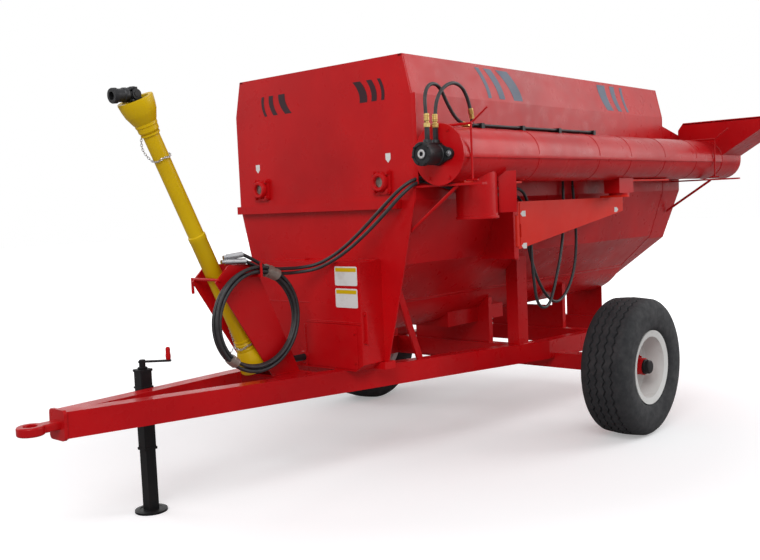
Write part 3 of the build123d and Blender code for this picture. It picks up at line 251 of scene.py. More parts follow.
@dataclass(frozen=True)
class PaintFinish:
    """Sprayed machine enamel: gloss over a faint orange peel, with patches of dust and cloudy tone."""

    name: str
    base: tuple[float, float, float, float]
    deep: tuple[float, float, float, float]
    roughness: float = 0.3
    coat: float = 0.05
    gloss: float = 0.14
    peel: float = 0.016
    dust: float = 0.05

    def make(self) -> bpy.types.Material:
        """Makes the finish's material.

        Returns:
            The material.
        """
        shader = Shader.named(self.name)
        cloud = shader.band(shader.noise(1.7, 5), 0.35, 0.7)
        streak = shader.band(shader.noise(6.0, 6, (1.0, 1.0, 0.18)), 0.45, 0.8, 0.0, 0.3)
        tone = shader.mix(cloud, self.base, self.deep)
        tone = shader.mix(streak, tone, self.deep)
        grime = shader.band(shader.noise(9.0, 8, roughness=0.65), 0.52, 0.78, 0.0, self.dust)
        tone = shader.mix(grime, tone, colour(120, 88, 74))
        shader.join(tone, shader.principled.inputs["Base Color"])
        rough = shader.band(shader.noise(14.0, 6), 0.3, 0.75, self.roughness - 0.06, self.roughness + 0.12)
        shader.join(rough, shader.principled.inputs["Roughness"])
        shader.principled.inputs["Specular IOR Level"].default_value = self.gloss
        shader.principled.inputs["Coat Weight"].default_value = self.coat
        shader.principled.inputs["Coat Roughness"].default_value = 0.12
        shader.bump(shader.noise(190.0, 2), self.peel, 0.002)
        return shader.material


@dataclass(frozen=True)
class RubberFinish:
    """Moulded rubber: near black, dull, with a fine grain and a little pale dust."""

    name: str
    base: tuple[float, float, float, float]
    dusty: tuple[float, float, float, float]
    roughness: float = 0.6
    grain: float = 0.12

    def make(self) -> bpy.types.Material:
        """Makes the finish's material.

        Returns:
            The material.
        """
        shader = Shader.named(self.name)
        dust = shader.band(shader.noise(16.0, 8, roughness=0.7), 0.42, 0.75)
        shader.join(shader.mix(dust, self.base, self.dusty), shader.principled.inputs["Base Color"])
        rough = shader.band(shader.noise(30.0, 5), 0.3, 0.7, self.roughness - 0.08, self.roughness + 0.15)
        shader.join(rough, shader.principled.inputs["Roughness"])
        shader.bump(shader.noise(520.0, 3), self.grain, 0.0012)
        return shader.material


@dataclass(frozen=True)
class MetalFinish:
    """Bare or oiled metal, with streaks where it was turned or where feed rubs it."""

    name: str
    base: tuple[float, float, float, float]
    dark: tuple[float, float, float, float]
    roughness: float = 0.35
    metallic: float = 1.0
    streak: tuple[float, float, float] = (0.15, 1.0, 1.0)

    def make(self) -> bpy.types.Material:
        """Makes the finish's material.

        Returns:
            The material.
        """
        shader = Shader.named(self.name)
        rub = shader.band(shader.noise(40.0, 7, self.streak, 0.6), 0.35, 0.72)
        shader.join(shader.mix(rub, self.base, self.dark), shader.principled.inputs["Base Color"])
        shader.principled.inputs["Metallic"].default_value = self.metallic
        rough = shader.band(shader.noise(60.0, 5, self.streak), 0.3, 0.7, self.roughness - 0.08,
                            self.roughness + 0.2)
        shader.join(rough, shader.principled.inputs["Roughness"])
        shader.bump(shader.noise(240.0, 4, self.streak), 0.08, 0.001)
        return shader.material


@dataclass
class Palette:
    """Every finish of the wagon, made once and shared."""

    finishes: tuple[object, ...] = (
        PaintFinish("RedEnamel", colour(196, 14, 20), colour(168, 8, 16)),
        PaintFinish("OrangeEnamel", colour(222, 34, 10), colour(204, 24, 8), roughness=0.42),
        PaintFinish("WhiteEnamel", colour(224, 224, 222), colour(206, 206, 204), roughness=0.4, dust=0.3),
        PaintFinish("BlackEnamel", colour(26, 26, 28), colour(18, 18, 20), roughness=0.42),
        PaintFinish("YellowPlastic", colour(216, 180, 6), colour(200, 160, 4), roughness=0.4, coat=0.1,
                    peel=0.03),
        PaintFinish("GreyDecal", colour(92, 104, 124), colour(70, 80, 98), roughness=0.35),
        PaintFinish("DarkDecal", colour(58, 30, 38), colour(40, 24, 30), roughness=0.35),
        RubberFinish("TyreRubber", colour(30, 31, 34), colour(52, 51, 53), roughness=0.8),
        RubberFinish("PackingTape", colour(118, 104, 96), colour(150, 138, 130), roughness=0.3, grain=0.05),
        RubberFinish("HoseRubber", colour(26, 26, 28), colour(48, 46, 49), roughness=0.5),
        MetalFinish("BrightSteel", colour(206, 206, 208), colour(160, 160, 164), 0.25),
        MetalFinish("WornSteel", colour(150, 146, 140), colour(96, 82, 70), 0.4),
        MetalFinish("DarkIron", colour(40, 40, 43), colour(26, 26, 28), 0.45, 0.4),
        MetalFinish("YellowZinc", colour(214, 186, 120), colour(176, 140, 76), 0.3),
    )
    made: dict[str, bpy.types.Material] = field(default_factory=dict)

    def __getitem__(self, name: str) -> bpy.types.Material:
        """Gives a finish's material, and makes them all at the first call.

        Args:
            name: The finish's name.

        Returns:
            The material.
        """
        if not self.made:
            self.made = {finish.name: finish.make() for finish in self.finishes}
        return self.made[name]


SLOT_FINISH = {
    "red_paint": "RedEnamel",
    "orange_paint": "OrangeEnamel",
    "white_paint": "WhiteEnamel",
    "black_paint": "BlackEnamel",
    "yellow_guard": "YellowPlastic",
    "tyre_rubber": "TyreRubber",
    "hose_rubber": "HoseRubber",
    "bright_steel": "BrightSteel",
    "worn_steel": "WornSteel",
    "dark_iron": "DarkIron",
}
FINISH_SLOT = {finish: slot for slot, finish in SLOT_FINISH.items()} | {
    "GreyDecal": "black_paint",
    "DarkDecal": "black_paint",
    "PackingTape": "hose_rubber",
    "YellowZinc": "bright_steel",
}


def place(x: float, y: float, z: float) -> Vector:
    """Returns the model's place of a point whose x is measured from the axle."""
    return Vector((from_axle(x), y, z))


def settled(data: bpy.types.Mesh, name: str, body: Body, *replaced: str) -> bpy.types.Object:
    """Makes a finished mesh a piece that rides on a body.

    Args:
        data: The mesh, in the wagon's frame, with its material.
        name: The piece's name.
        body: The body that it rides on.
        replaced: CAD nodes that it stands for.

    Returns:
        The new object.
    """
    data.shade_smooth()
    data.set_sharp_from_angle(angle=math.radians(32))
    piece = bpy.data.objects.new(name, data)
    bpy.context.scene.collection.objects.link(piece)
    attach(piece, body.value)
    finish = data.materials[-1].name
    FINISH_SLOT[finish]
    if replaced:
        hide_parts(*replaced)
    LOG.info("%s: %d faces", name, len(data.polygons))
    return piece


class Shape:
    """A mesh under construction, in the wagon's frame."""

    def __init__(self) -> None:
        """Starts an empty mesh."""
        self.mesh = bmesh.new()

    def skin(self, rings: list[list[Vector]], closed: bool = False, wrap: bool = True,
             caps: bool = True) -> Shape:
        """Joins rings of points with faces.

        Args:
            rings: Rings of the same number of points.
            closed: Whether the last ring joins the first.
            wrap: Whether each ring is a closed loop.
            caps: Whether the end rings get a face.

        Returns:
            This shape.
        """
        rows = [[self.mesh.verts.new(point) for point in ring] for ring in rings]
        pairs = list(zip(rows, rows[1:])) + ([(rows[-1], rows[0])] if closed else [])
        count = len(rows[0])
        for near, far in pairs:
            for i in range(count if wrap else count - 1):
                j = (i + 1) % count
                self.mesh.faces.new((near[i], near[j], far[j], far[i]))
        if caps and not closed:
            self.mesh.faces.new(rows[0][::-1])
            self.mesh.faces.new(rows[-1])
        return self

    def prism(self, outline: list[Vector], through: Vector, bevel: float = 0.0012) -> Shape:
        """Adds a plate with eased edges.

        Args:
            outline: Corners of one face.
            through: From that face to the other one.
            bevel: Width of the eased edges.

        Returns:
            This shape.
        """
        low = [self.mesh.verts.new(corner) for corner in outline]
        high = [self.mesh.verts.new(corner + through) for corner in outline]
        count = len(low)
        faces = [self.mesh.faces.new(low[::-1]), self.mesh.faces.new(high)]
        faces += [self.mesh.faces.new((low[i], low[(i + 1) % count], high[(i + 1) % count], high[i]))
                  for i in range(count)]
        if bevel:
            edges = list({edge for face in faces for edge in face.edges})
            bmesh.ops.bevel(self.mesh, geom=edges, offset=bevel, segments=2, affect="EDGES", profile=0.7)
        return self

    def bar(self, start: Vector, end: Vector, width: float, depth: float,
            up: tuple[float, float, float] = (0, 0, 1), bevel: float = 0.0012) -> Shape:
        """Adds a rectangular bar.

        Args:
            start: Middle of one end.
            end: Middle of the other end.
            width: Size across the bar and across up.
            depth: Size across the bar, nearest to up.
            up: Direction of the depth.
            bevel: Width of the eased edges.

        Returns:
            This shape.
        """
        run = end - start
        side = run.cross(Vector(up)).normalized()
        lift = side.cross(run).normalized() * depth / 2
        side = side * width / 2
        corners = [start + side + lift, start - side + lift, start - side - lift, start + side - lift]
        return self.prism(corners, run, bevel)

    def lathe(self, profile: list[tuple[float, float]], origin: Vector, axis: tuple[float, float, float],
              steps: int = 48) -> Shape:
        """Adds a turned solid.

        Args:
            profile: Pairs of radius and length along the axis, from axis to axis or else a closed outline.
            origin: Where the length along the axis is nothing.
            axis: The axis.
            steps: Flats round the axis.

        Returns:
            This shape.
        """
        line = Vector(axis).normalized()
        arm = line.orthogonal().normalized()
        rings = []
        for step in range(steps):
            spoke = Quaternion(line, 2 * math.pi * step / steps) @ arm
            rings.append([origin + spoke * radius + line * length for radius, length in profile])
        open_ended = profile[0][0] == 0 and profile[-1][0] == 0
        return self.skin(rings, closed=True, wrap=not open_ended)

    def pipe(self, path: list[Vector], radius: float | list[float], sides: int = 14,
             squeeze: tuple[float, float] = (1.0, 1.0), up: tuple[float, float, float] = (0, 0, 1),
             closed: bool = False) -> Shape:
        """Sweeps a round or oval section along a path.

        Args:
            path: Points along the middle.
            radius: One radius, or one for each point.
            sides: Flats round the section.
            squeeze: Share of the radius across up, and towards it.
            up: Direction that the section's second size follows.
            closed: Whether the path is a loop.

        Returns:
            This shape.
        """
        count = len(path)
        radii = radius if isinstance(radius, list) else [radius] * count
        rings, lift = [], Vector(up)
        for i, point in enumerate(path):
            before = path[i - 1] if i or closed else path[0]
            after = path[(i + 1) % count] if i + 1 < count or closed else path[-1]
            run = (after - before).normalized()
            lift = (lift - run * lift.dot(run)).normalized()
            side = run.cross(lift)
            turns = [2 * math.pi * k / sides for k in range(sides)]
            wide, high = side * squeeze[0] * radii[i], lift * squeeze[1] * radii[i]
            rings.append([point + wide * math.cos(t) + high * math.sin(t) for t in turns])
        return self.skin(rings, closed=closed)

    def arrow(self, tip: Vector, run: Vector, across: Vector, out: Vector) -> Shape:
        """Adds a plain arrow sticker: a square with a point.

        Args:
            tip: The arrow's tip.
            run: The way from the tip to the tail, as long as the arrow.
            across: Half its width.
            out: Its thickness.

        Returns:
            This shape.
        """
        neck = tip + run * 0.38
        return self.prism([tip, neck + across, tip + run + across, tip + run - across, neck - across], out, 0)

    def piece(self, name: str, material: bpy.types.Material, body: Body, *replaced: str) -> bpy.types.Object:
        """Ends the mesh and makes it a piece.

        Args:
            name: The piece's name.
            material: Its finish.
            body: The body that it rides on.
            replaced: CAD nodes that it stands for.

        Returns:
            The new object.
        """
        return settled(self.data(name, material), name, body, *replaced)

    def data(self, name: str, material: bpy.types.Material | None = None) -> bpy.types.Mesh:
        """Ends the mesh and returns its data.

        Args:
            name: The mesh's name.
            material: Its finish, if it has one already.

        Returns:
            The mesh.
        """
        bmesh.ops.remove_doubles(self.mesh, verts=self.mesh.verts, dist=1e-6)
        bmesh.ops.dissolve_degenerate(self.mesh, edges=self.mesh.edges, dist=1e-7)
        bmesh.ops.recalc_face_normals(self.mesh, faces=self.mesh.faces)
        data = bpy.data.meshes.new(name)
        self.mesh.to_mesh(data)
        self.mesh.free()
        if material:
            data.materials.append(material)
        return data


class Tree:
    """A geometry node tree under construction: its sizes are named inputs."""

    def __init__(self, name: str, **sizes: float | int | tuple[float, float, float]) -> None:
        """Starts the tree.

        Args:
            name: The tree's name.
            sizes: Named inputs with their usual values; spaces are written as underscores.
        """
        self.group = bpy.data.node_groups.new(name, "GeometryNodeTree")
        face = self.group.interface
        face.new_socket("Base", in_out="INPUT", socket_type="NodeSocketGeometry")
        face.new_socket("Material", in_out="INPUT", socket_type="NodeSocketMaterial")
        face.new_socket("Result", in_out="OUTPUT", socket_type="NodeSocketGeometry")
        kinds = {int: "NodeSocketInt", float: "NodeSocketFloat", tuple: "NodeSocketVector"}
        for key, value in sizes.items():
            socket = face.new_socket(key.replace("_", " "), in_out="INPUT", socket_type=kinds[type(value)])
            socket.default_value = value
        self.given = self.group.nodes.new("NodeGroupInput").outputs

    def add(self, kind: str, feeds: dict[str | int, object] | None = None,
            **settings: object) -> bpy.types.NodeOutputs:
        """Adds a node.

        Args:
            kind: Blender's node type.
            feeds: Sockets or values for its inputs, by name or place.
            settings: The node's own attributes.

        Returns:
            The node's outputs.
        """
        node = self.group.nodes.new(kind)
        for key, value in settings.items():
            setattr(node, key, value)
        for key, value in (feeds or {}).items():
            for one in value if isinstance(value, list) else [value]:
                if isinstance(one, bpy.types.NodeSocket):
                    self.group.links.new(one, node.inputs[key])
                else:
                    node.inputs[key].default_value = one
        return node.outputs

    def math(self, operation: str, a: object, b: object) -> bpy.types.NodeSocket:
        """Returns the socket of a sum on two sockets or values."""
        return self.add("ShaderNodeMath", {0: a, 1: b}, operation=operation)[0]

    def close(self, geometry: bpy.types.NodeSocket, merge: float = 0.0) -> Tree:
        """Ends the tree with real geometry and its material.

        Args:
            geometry: What the tree has made.
            merge: Points nearer than this become one.

        Returns:
            This tree.
        """
        real = self.add("GeometryNodeRealizeInstances", {0: geometry})[0]
        if merge:
            real = self.add("GeometryNodeMergeByDistance", {"Geometry": real, "Distance": merge})[0]
        material = self.given["Material"]
        dressed = self.add("GeometryNodeSetMaterial", {"Geometry": real, "Material": material})[0]
        self.group.links.new(dressed, self.group.nodes.new("NodeGroupOutput").inputs[0])
        return self

    def grow(self, base: bpy.types.ID, name: str, material: bpy.types.Material,
             **sizes: float | int | tuple[float, float, float]) -> bpy.types.Mesh:
        """Runs the tree on a base and returns a plain mesh.

        Args:
            base: A mesh or curve for the tree's base.
            name: The new mesh's name.
            material: The finish.
            sizes: Values for the named inputs.

        Returns:
            The mesh.
        """
        carrier = bpy.data.objects.new(name + "_base", base)
        bpy.context.scene.collection.objects.link(carrier)
        modifier = carrier.modifiers.new("Tree", "NODES")
        modifier.node_group = self.group
        values = {key.replace("_", " "): value for key, value in sizes.items()} | {"Material": material}
        for item in self.group.interface.items_tree:
            if item.in_out == "INPUT" and item.name in values:
                modifier[item.identifier] = values[item.name]
        bpy.context.view_layer.update()
        seen = carrier.evaluated_get(bpy.context.evaluated_depsgraph_get())
        data = bpy.data.meshes.new_from_object(seen)
        carrier.modifiers.remove(modifier)
        bpy.data.objects.remove(carrier)
        data.name = name
        return data


def round_the_axis() -> Tree:
    """Makes the tree that repeats a base round an axis, as tread blocks and rings of nuts are.

    Returns:
        The tree.
    """
    tree = Tree("RoundTheAxis", Count=6, Centre=(0.0, 0.0, 0.0), Axis=(0.0, 1.0, 0.0))
    given = tree.given
    back = tree.add("ShaderNodeVectorMath", {0: given["Centre"], "Scale": -1.0}, operation="SCALE")[0]
    centred = tree.add("GeometryNodeTransform", {"Geometry": given["Base"], "Translation": back})[0]
    points = tree.add("GeometryNodePoints", {"Count": given["Count"]})[0]
    index = tree.add("GeometryNodeInputIndex")[0]
    share = tree.math("DIVIDE", index, given["Count"])
    angle = tree.math("MULTIPLY", share, 2 * math.pi)
    turn = tree.add("FunctionNodeAxisAngleToRotation", {"Axis": given["Axis"], "Angle": angle})[0]
    copies = tree.add("GeometryNodeInstanceOnPoints",
                      {"Points": points, "Instance": centred, "Rotation": turn})[0]
    put = tree.add("GeometryNodeTransform", {"Geometry": copies, "Translation": given["Centre"]})[0]
    return tree.close(put, merge=1e-5)


def bolts_on_points() -> Tree:
    """Makes the tree that sets a hexagon bolt with its washer on each point, facing its own way.

    Returns:
        The tree.
    """
    tree = Tree("BoltsOnPoints", Head_radius=0.009, Head_height=0.007)
    given = tree.given
    head = tree.add("GeometryNodeMeshCylinder",
                    {"Vertices": 6, "Radius": given["Head radius"], "Depth": given["Head height"]})[0]
    lift = tree.math("MULTIPLY", given["Head height"], 0.75)
    up = tree.add("ShaderNodeCombineXYZ", {"Z": lift})[0]
    raised = tree.add("GeometryNodeTransform", {"Geometry": head, "Translation": up})[0]
    wide = tree.math("MULTIPLY", given["Head radius"], 1.35)
    washer = tree.add("GeometryNodeMeshCylinder", {"Vertices": 18, "Radius": wide, "Depth": lift})[0]
    stud = tree.math("MULTIPLY", given["Head radius"], 0.52)
    tall = tree.math("MULTIPLY", given["Head height"], 3.1)
    thread = tree.add("GeometryNodeMeshCylinder", {"Vertices": 12, "Radius": stud, "Depth": tall})[0]
    bolt = tree.add("GeometryNodeJoinGeometry", {0: [thread, washer, raised]})[0]
    facing = tree.add("GeometryNodeInputNamedAttribute", {"Name": "facing"}, data_type="FLOAT_VECTOR")[0]
    turn = tree.add("FunctionNodeAlignRotationToVector", {"Vector": facing}, axis="Z")[0]
    bolts = tree.add("GeometryNodeInstanceOnPoints",
                     {"Points": given["Base"], "Instance": bolt, "Rotation": turn})[0]
    return tree.close(bolts)


def bead_along() -> Tree:
    """Makes the tree that lays a rippled weld bead along a curve.

    Returns:
        The tree.
    """
    tree = Tree("BeadAlong", Radius=0.003, Step=0.004, Ripple=0.16)
    given = tree.given
    fine = tree.add("GeometryNodeResampleCurve", {"Curve": given["Base"], "Length": given["Step"]},
                    mode="LENGTH")[0]
    index = tree.add("GeometryNodeInputIndex")[0]
    where = tree.add("GeometryNodeInputPosition")[0]
    odd = tree.math("MODULO", index, 2.0)
    cloud = tree.add("ShaderNodeTexNoise", {"Vector": where, "Scale": 90.0, "Detail": 1.0})[0]
    both = tree.math("ADD", odd, cloud)
    ripple = tree.math("MULTIPLY", both, given["Ripple"])
    share = tree.math("SUBTRACT", 1.0, ripple)
    radius = tree.math("MULTIPLY", share, given["Radius"])
    circle = tree.add("GeometryNodeCurvePrimitiveCircle", {"Resolution": 8, "Radius": 1.0})[0]
    sized = tree.add("GeometryNodeSetCurveRadius", {"Curve": fine, "Radius": radius})[0]
    bead = tree.add("GeometryNodeCurveToMesh",
                    {"Curve": sized, "Profile Curve": circle, "Fill Caps": True, "Scale": radius})[0]
    return tree.close(bead)


def links_along() -> Tree:
    """Makes the tree that threads chain links along a curve, each turned a quarter from the last.

    Returns:
        The tree.
    """
    tree = Tree("LinksAlong", Wire=0.0016, Link=0.012)
    given = tree.given
    spots = tree.add("GeometryNodeCurveToPoints", {"Curve": given["Base"], "Length": given["Link"]},
                     mode="LENGTH")
    half = tree.math("MULTIPLY", given["Link"], 0.42)
    ring = tree.add("GeometryNodeCurvePrimitiveCircle", {"Resolution": 12, "Radius": half})[0]
    wire = tree.add("GeometryNodeCurvePrimitiveCircle", {"Resolution": 6, "Radius": given["Wire"]})[0]
    link = tree.add("GeometryNodeCurveToMesh", {"Curve": ring, "Profile Curve": wire})[0]
    oval = tree.add("GeometryNodeTransform", {"Geometry": link, "Scale": (1.75, 1.0, 1.0),
                                              "Rotation": (0.0, math.pi / 2, 0.0)})[0]
    index = tree.add("GeometryNodeInputIndex")[0]
    odd = tree.math("MODULO", index, 2.0)
    quarter = tree.math("MULTIPLY", odd, math.pi / 2)
    twist = tree.add("FunctionNodeAxisAngleToRotation", {"Axis": (0.0, 0.0, 1.0), "Angle": quarter})[0]
    turn = tree.add("FunctionNodeRotateRotation",
                    {"Rotation": spots["Rotation"], "Rotate By": twist}, rotation_space="LOCAL")[0]
    chain = tree.add("GeometryNodeInstanceOnPoints",
                     {"Points": spots["Points"], "Instance": oval, "Rotation": turn})[0]
    return tree.close(chain)


def polyline(name: str, paths: list[list[Vector]], closed: bool = False) -> bpy.types.Curve:
    """Returns a curve of straight-run splines through points.

    Args:
        name: The curve's name.
        paths: The points of each spline.
        closed: Whether each spline is a loop.

    Returns:
        The curve.
    """
    curve = bpy.data.curves.new(name, "CURVE")
    curve.dimensions = "3D"
    for path in paths:
        spline = curve.splines.new("POLY")
        spline.points.add(len(path) - 1)
        for point, where in zip(spline.points, path):
            point.co = (*where, 1)
        spline.use_cyclic_u = closed
    return curve


def spots(name: str, rows: list[tuple[Vector, tuple[float, float, float]]]) -> bpy.types.Mesh:
    """Returns a mesh of single points, each with the way it faces.

    Args:
        name: The mesh's name.
        rows: Pairs of place and facing.

    Returns:
        The mesh.
    """
    data = bpy.data.meshes.new(name)
    data.from_pydata([where for where, _ in rows], [], [])
    facing = data.attributes.new("facing", "FLOAT_VECTOR", "POINT")
    facing.data.foreach_set("vector", [c for _, way in rows for c in way])
    return data


@dataclass
class Workshop:
    """What every sub-assembly is made with: the finishes and the trees."""

    palette: Palette
    ring: Tree = field(default_factory=round_the_axis)
    bolting: Tree = field(default_factory=bolts_on_points)
    welding: Tree = field(default_factory=bead_along)
    linking: Tree = field(default_factory=links_along)

    def __getitem__(self, finish: str) -> bpy.types.Material:
        """Returns the material of that name."""
        return self.palette[finish]

    def bolts(self, name: str, rows: list[tuple[Vector, tuple[float, float, float]]], body: Body,
              finish: str, radius: float, height: float) -> bpy.types.Object:
        """Sets bolts on points.

        Args:
            name: The piece's name.
            rows: Pairs of place and facing.
            body: The body that it rides on.
            finish: The finish's name.
            radius: Half the head's width over its corners.
            height: The head's height.

        Returns:
            The piece.
        """
        data = self.bolting.grow(spots(name, rows), name, self[finish], Head_radius=radius,
                                 Head_height=height)
        return settled(data, name, body)

    def welds(self, name: str, paths: list[list[Vector]], body: Body, finish: str = "RedEnamel",
              radius: float = 0.003, closed: bool = False) -> bpy.types.Object:
        """Lays weld beads along paths.

        Args:
            name: The piece's name.
            paths: The points of each bead.
            body: The body that it rides on.
            finish: The finish's name.
            radius: The bead's radius.
            closed: Whether each path is a loop.

        Returns:
            The piece.
        """
        data = self.welding.grow(polyline(name, paths, closed), name, self[finish], Radius=radius)
        return settled(data, name, body)


def smooth_curve(name: str, route: list[Vector], bevel: float) -> bpy.types.Object:
    """Returns a hose's curve: a smooth spline that takes its route as control points.

    Args:
        name: The curve's name.
        route: The control points.
        bevel: Radius of the hose, or 0 for the bare line.

    Returns:
        The curve object.
    """
    curve = bpy.data.curves.new(name, "CURVE")
    curve.dimensions = "3D"
    curve.resolution_u = 8
    spline = curve.splines.new("NURBS")
    spline.points.add(len(route) - 1)
    for point, where in zip(spline.points, route):
        point.co = (*where, 1)
    spline.order_u = 3
    spline.use_endpoint_u = True
    if bevel:
        curve.bevel_depth = bevel
        curve.bevel_resolution = 4
        curve.use_fill_caps = True
    hose = bpy.data.objects.new(name, curve)
    bpy.context.scene.collection.objects.link(hose)
    return hose


@dataclass
class Hydraulics:
    """The six hydraulic hoses, the coil on the cradle, its tape and the hoses' fittings."""

    shop: Workshop
    diameter: float = 0.017
    coil_centre: tuple[float, float, float] = (1.995, 0.120, 0.852)
    coil_half: tuple[float, float] = (0.246, 0.232)
    coil_start: float = 114.0
    turns: int = 2
    points_a_turn: int = 16
    couplers: tuple[tuple[float, float], ...] = ((2.052, 1.160), (2.036, 1.127))
    supply_upper: tuple[tuple[float, float, float], ...] = (
        (1.800, 0.118, 1.074), (1.700, 0.114, 1.070), (1.622, 0.165, 1.082), (1.568, 0.270, 1.146),
        (1.535, 0.400, 1.255), (1.510, 0.515, 1.362), (1.480, 0.605, 1.446), (1.420, 0.652, 1.484),
        (1.320, 0.655, 1.478), (1.190, 0.660, 1.456), (1.040, 0.668, 1.436), (0.900, 0.674, 1.424),
        (0.770, 0.680, 1.421), (0.658, 0.684, 1.425),
    )
    supply_lower: tuple[tuple[float, float, float], ...] = (
        (1.800, 0.108, 1.050), (1.712, 0.108, 1.049), (1.640, 0.178, 1.060), (1.592, 0.300, 1.126),
        (1.552, 0.428, 1.228), (1.522, 0.532, 1.326), (1.490, 0.614, 1.414), (1.430, 0.654, 1.464),
        (1.325, 0.647, 1.460), (1.190, 0.648, 1.432), (1.040, 0.650, 1.406), (0.900, 0.652, 1.391),
        (0.770, 0.654, 1.388), (0.658, 0.656, 1.392),
    )
    motor_front: tuple[tuple[float, float, float], ...] = (
        (1.528, 0.800, 1.700), (1.532, 0.799, 1.772), (1.530, 0.795, 1.842), (1.499, 0.789, 1.888),
        (1.446, 0.784, 1.906), (1.392, 0.781, 1.887), (1.338, 0.779, 1.813), (1.285, 0.778, 1.759),
        (1.233, 0.778, 1.730), (1.178, 0.778, 1.722),
    )
    motor_rear: tuple[tuple[float, float, float], ...] = (
        (1.467, 0.800, 1.700), (1.466, 0.801, 1.772), (1.449, 0.804, 1.840), (1.399, 0.808, 1.892),
        (1.329, 0.811, 1.915), (1.262, 0.813, 1.894), (1.225, 0.814, 1.839), (1.208, 0.815, 1.790),
        (1.199, 0.815, 1.750),
    )
    loop_front: tuple[tuple[float, float, float], ...] = (
        (0.6485, 0.684, 1.424), (0.575, 0.684, 1.411), (0.522, 0.682, 1.350), (0.504, 0.680, 1.225),
        (0.492, 0.678, 1.085), (0.482, 0.677, 0.975), (0.466, 0.676, 0.880), (0.446, 0.675, 0.792),
        (0.383, 0.674, 0.742), (0.303, 0.672, 0.762), (0.255, 0.671, 0.840), (0.212, 0.669, 0.925),
        (0.166, 0.666, 1.015), (0.120, 0.660, 1.140), (0.094, 0.654, 1.285), (0.090, 0.651, 1.4293),
    )
    loop_rear: tuple[tuple[float, float, float], ...] = (
        (0.6488, 0.656, 1.392), (0.576, 0.654, 1.382), (0.512, 0.650, 1.320), (0.488, 0.646, 1.205),
        (0.452, 0.640, 1.060), (0.383, 0.636, 0.926), (0.283, 0.634, 0.806), (0.165, 0.634, 0.746),
        (0.042, 0.636, 0.806), (-0.038, 0.640, 0.930), (-0.062, 0.645, 1.090), (-0.042, 0.650, 1.262),
        (-0.020, 0.651, 1.429),
    )
    loop_line: tuple[float, float] = (0.66, 1.4)
    lengths: dict[str, float] = field(default_factory=lambda: {
        "motor_front": 0.585, "motor_rear": 0.509, "supply_upper": 5.02, "supply_lower": 4.76,
        "loop_front": 1.575, "loop_rear": 1.63,
    })

    def coil(self, radial: float) -> list[Vector]:
        """Returns the control points of one hose's turns, stepping outward from the cradle plate.

        Args:
            radial: How far this hose lies outside the coil's middle line.

        Returns:
            The points, from the tail to where the hose leaves.
        """
        x0, y0, z0 = self.coil_centre
        swell = 1 / math.cos(math.pi / self.points_a_turn)
        total = self.turns * self.points_a_turn
        route = []
        for k in range(total + 1):
            turn = math.radians(self.coil_start + 360 * k / self.points_a_turn)
            wide = (self.coil_half[0] + radial) * swell
            high = (self.coil_half[1] + radial) * swell
            step = self.diameter * 1.06 * (2 * k / total - 1)
            loose = 0.0035 * math.sin(2.3 * turn + 40 * radial)
            route.append(place(x0 + (wide + loose) * math.cos(turn), y0 + step,
                               z0 + (high + loose) * math.sin(turn)))
        return route

    def cord(self, hose_name: str, route: list[Vector], body: Body,
             lay: str = "hanging") -> None:
        """Makes one hose as a round curve through its control points.

        Args:
            hose_name: Which hose it is.
            route: Its control points.
            body: The body that it rides on.
            lay: How it lies.
        """
        hose = smooth_curve(f"hose_{hose_name}_cord", route, self.diameter / 2)
        hose.data.materials.append(self.shop["HoseRubber"])
        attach(hose, body.value)
        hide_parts(f"hose_{hose_name}")
        coiled = lay == "coiled"
        if coiled:
            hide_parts("hose_coil")
        tuple(route[-1] if coiled else route[0])
        self.lengths[hose_name]

    def loop(self, hose_name: str, route: list[Vector], start: float, end: float) -> None:
        """Makes one loop between the wagon's side and the tube's pipes as a swept tube.

        Args:
            hose_name: Which hose it is.
            route: Its control points.
            start: Length along X from the axle where the loop would still move with the arm; not used.
            end: Where it would move with the tube; not used.
        """
        name = f"hose_{hose_name}_tube"
        line = smooth_curve(name + "_line", route, 0)
        bpy.context.view_layer.update()
        seen = line.evaluated_get(bpy.context.evaluated_depsgraph_get())
        bare = bpy.data.meshes.new_from_object(seen)
        path = [vertex.co.copy() for vertex in bare.vertices]
        bpy.data.objects.remove(line)
        data = Shape().pipe(path, self.diameter / 2, 16, up=(0, 1, 0)).data(
            name, self.shop["HoseRubber"])
        data.shade_smooth()
        hose = bpy.data.objects.new(name, data)
        bpy.context.scene.collection.objects.link(hose)
        tuple(place(start, *self.loop_line))
        tuple(place(end, *self.loop_line))
        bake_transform(hose)
        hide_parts(f"hose_{hose_name}")
        tuple(path[0])
        self.lengths[hose_name]

    def ferrule(self, name: str, foot: Vector, run: Vector, body: Body, length: float = 0.062,
                nut: float = 0.0165) -> bpy.types.Object:
        """Makes a crimped fitting: a hexagon nut, a neck and a ribbed sleeve over the hose's end.

        Args:
            name: The piece's name.
            foot: Where the nut sits.
            run: The way from the nut along the hose.
            body: The body that it rides on.
            length: From the nut's foot to the sleeve's end.
            nut: Half the nut's width over its corners.

        Returns:
            The piece.
        """
        shape = Shape()
        way = tuple(run)
        hexagon = [(0, 0.0), (nut, 0.001), (nut, length * 0.30), (nut * 0.8, length * 0.34),
                   (0, length * 0.34)]
        shape.lathe(hexagon, foot, way, steps=6)
        sleeve = [(0, 0.30), (0.0095, 0.31), (0.0095, 0.42), (0.0122, 0.45)]
        for rib in (0.48, 0.61, 0.74, 0.87):
            sleeve += [(0.0126, rib), (0.0126, rib + 0.08), (0.0114, rib + 0.1)]
        sleeve += [(0.0105, 1.0), (0, 1.0)]
        shape.lathe([(radius, share * length) for radius, share in sleeve], foot, way, steps=24)
        return shape.piece(name, self.shop["YellowZinc"], body)

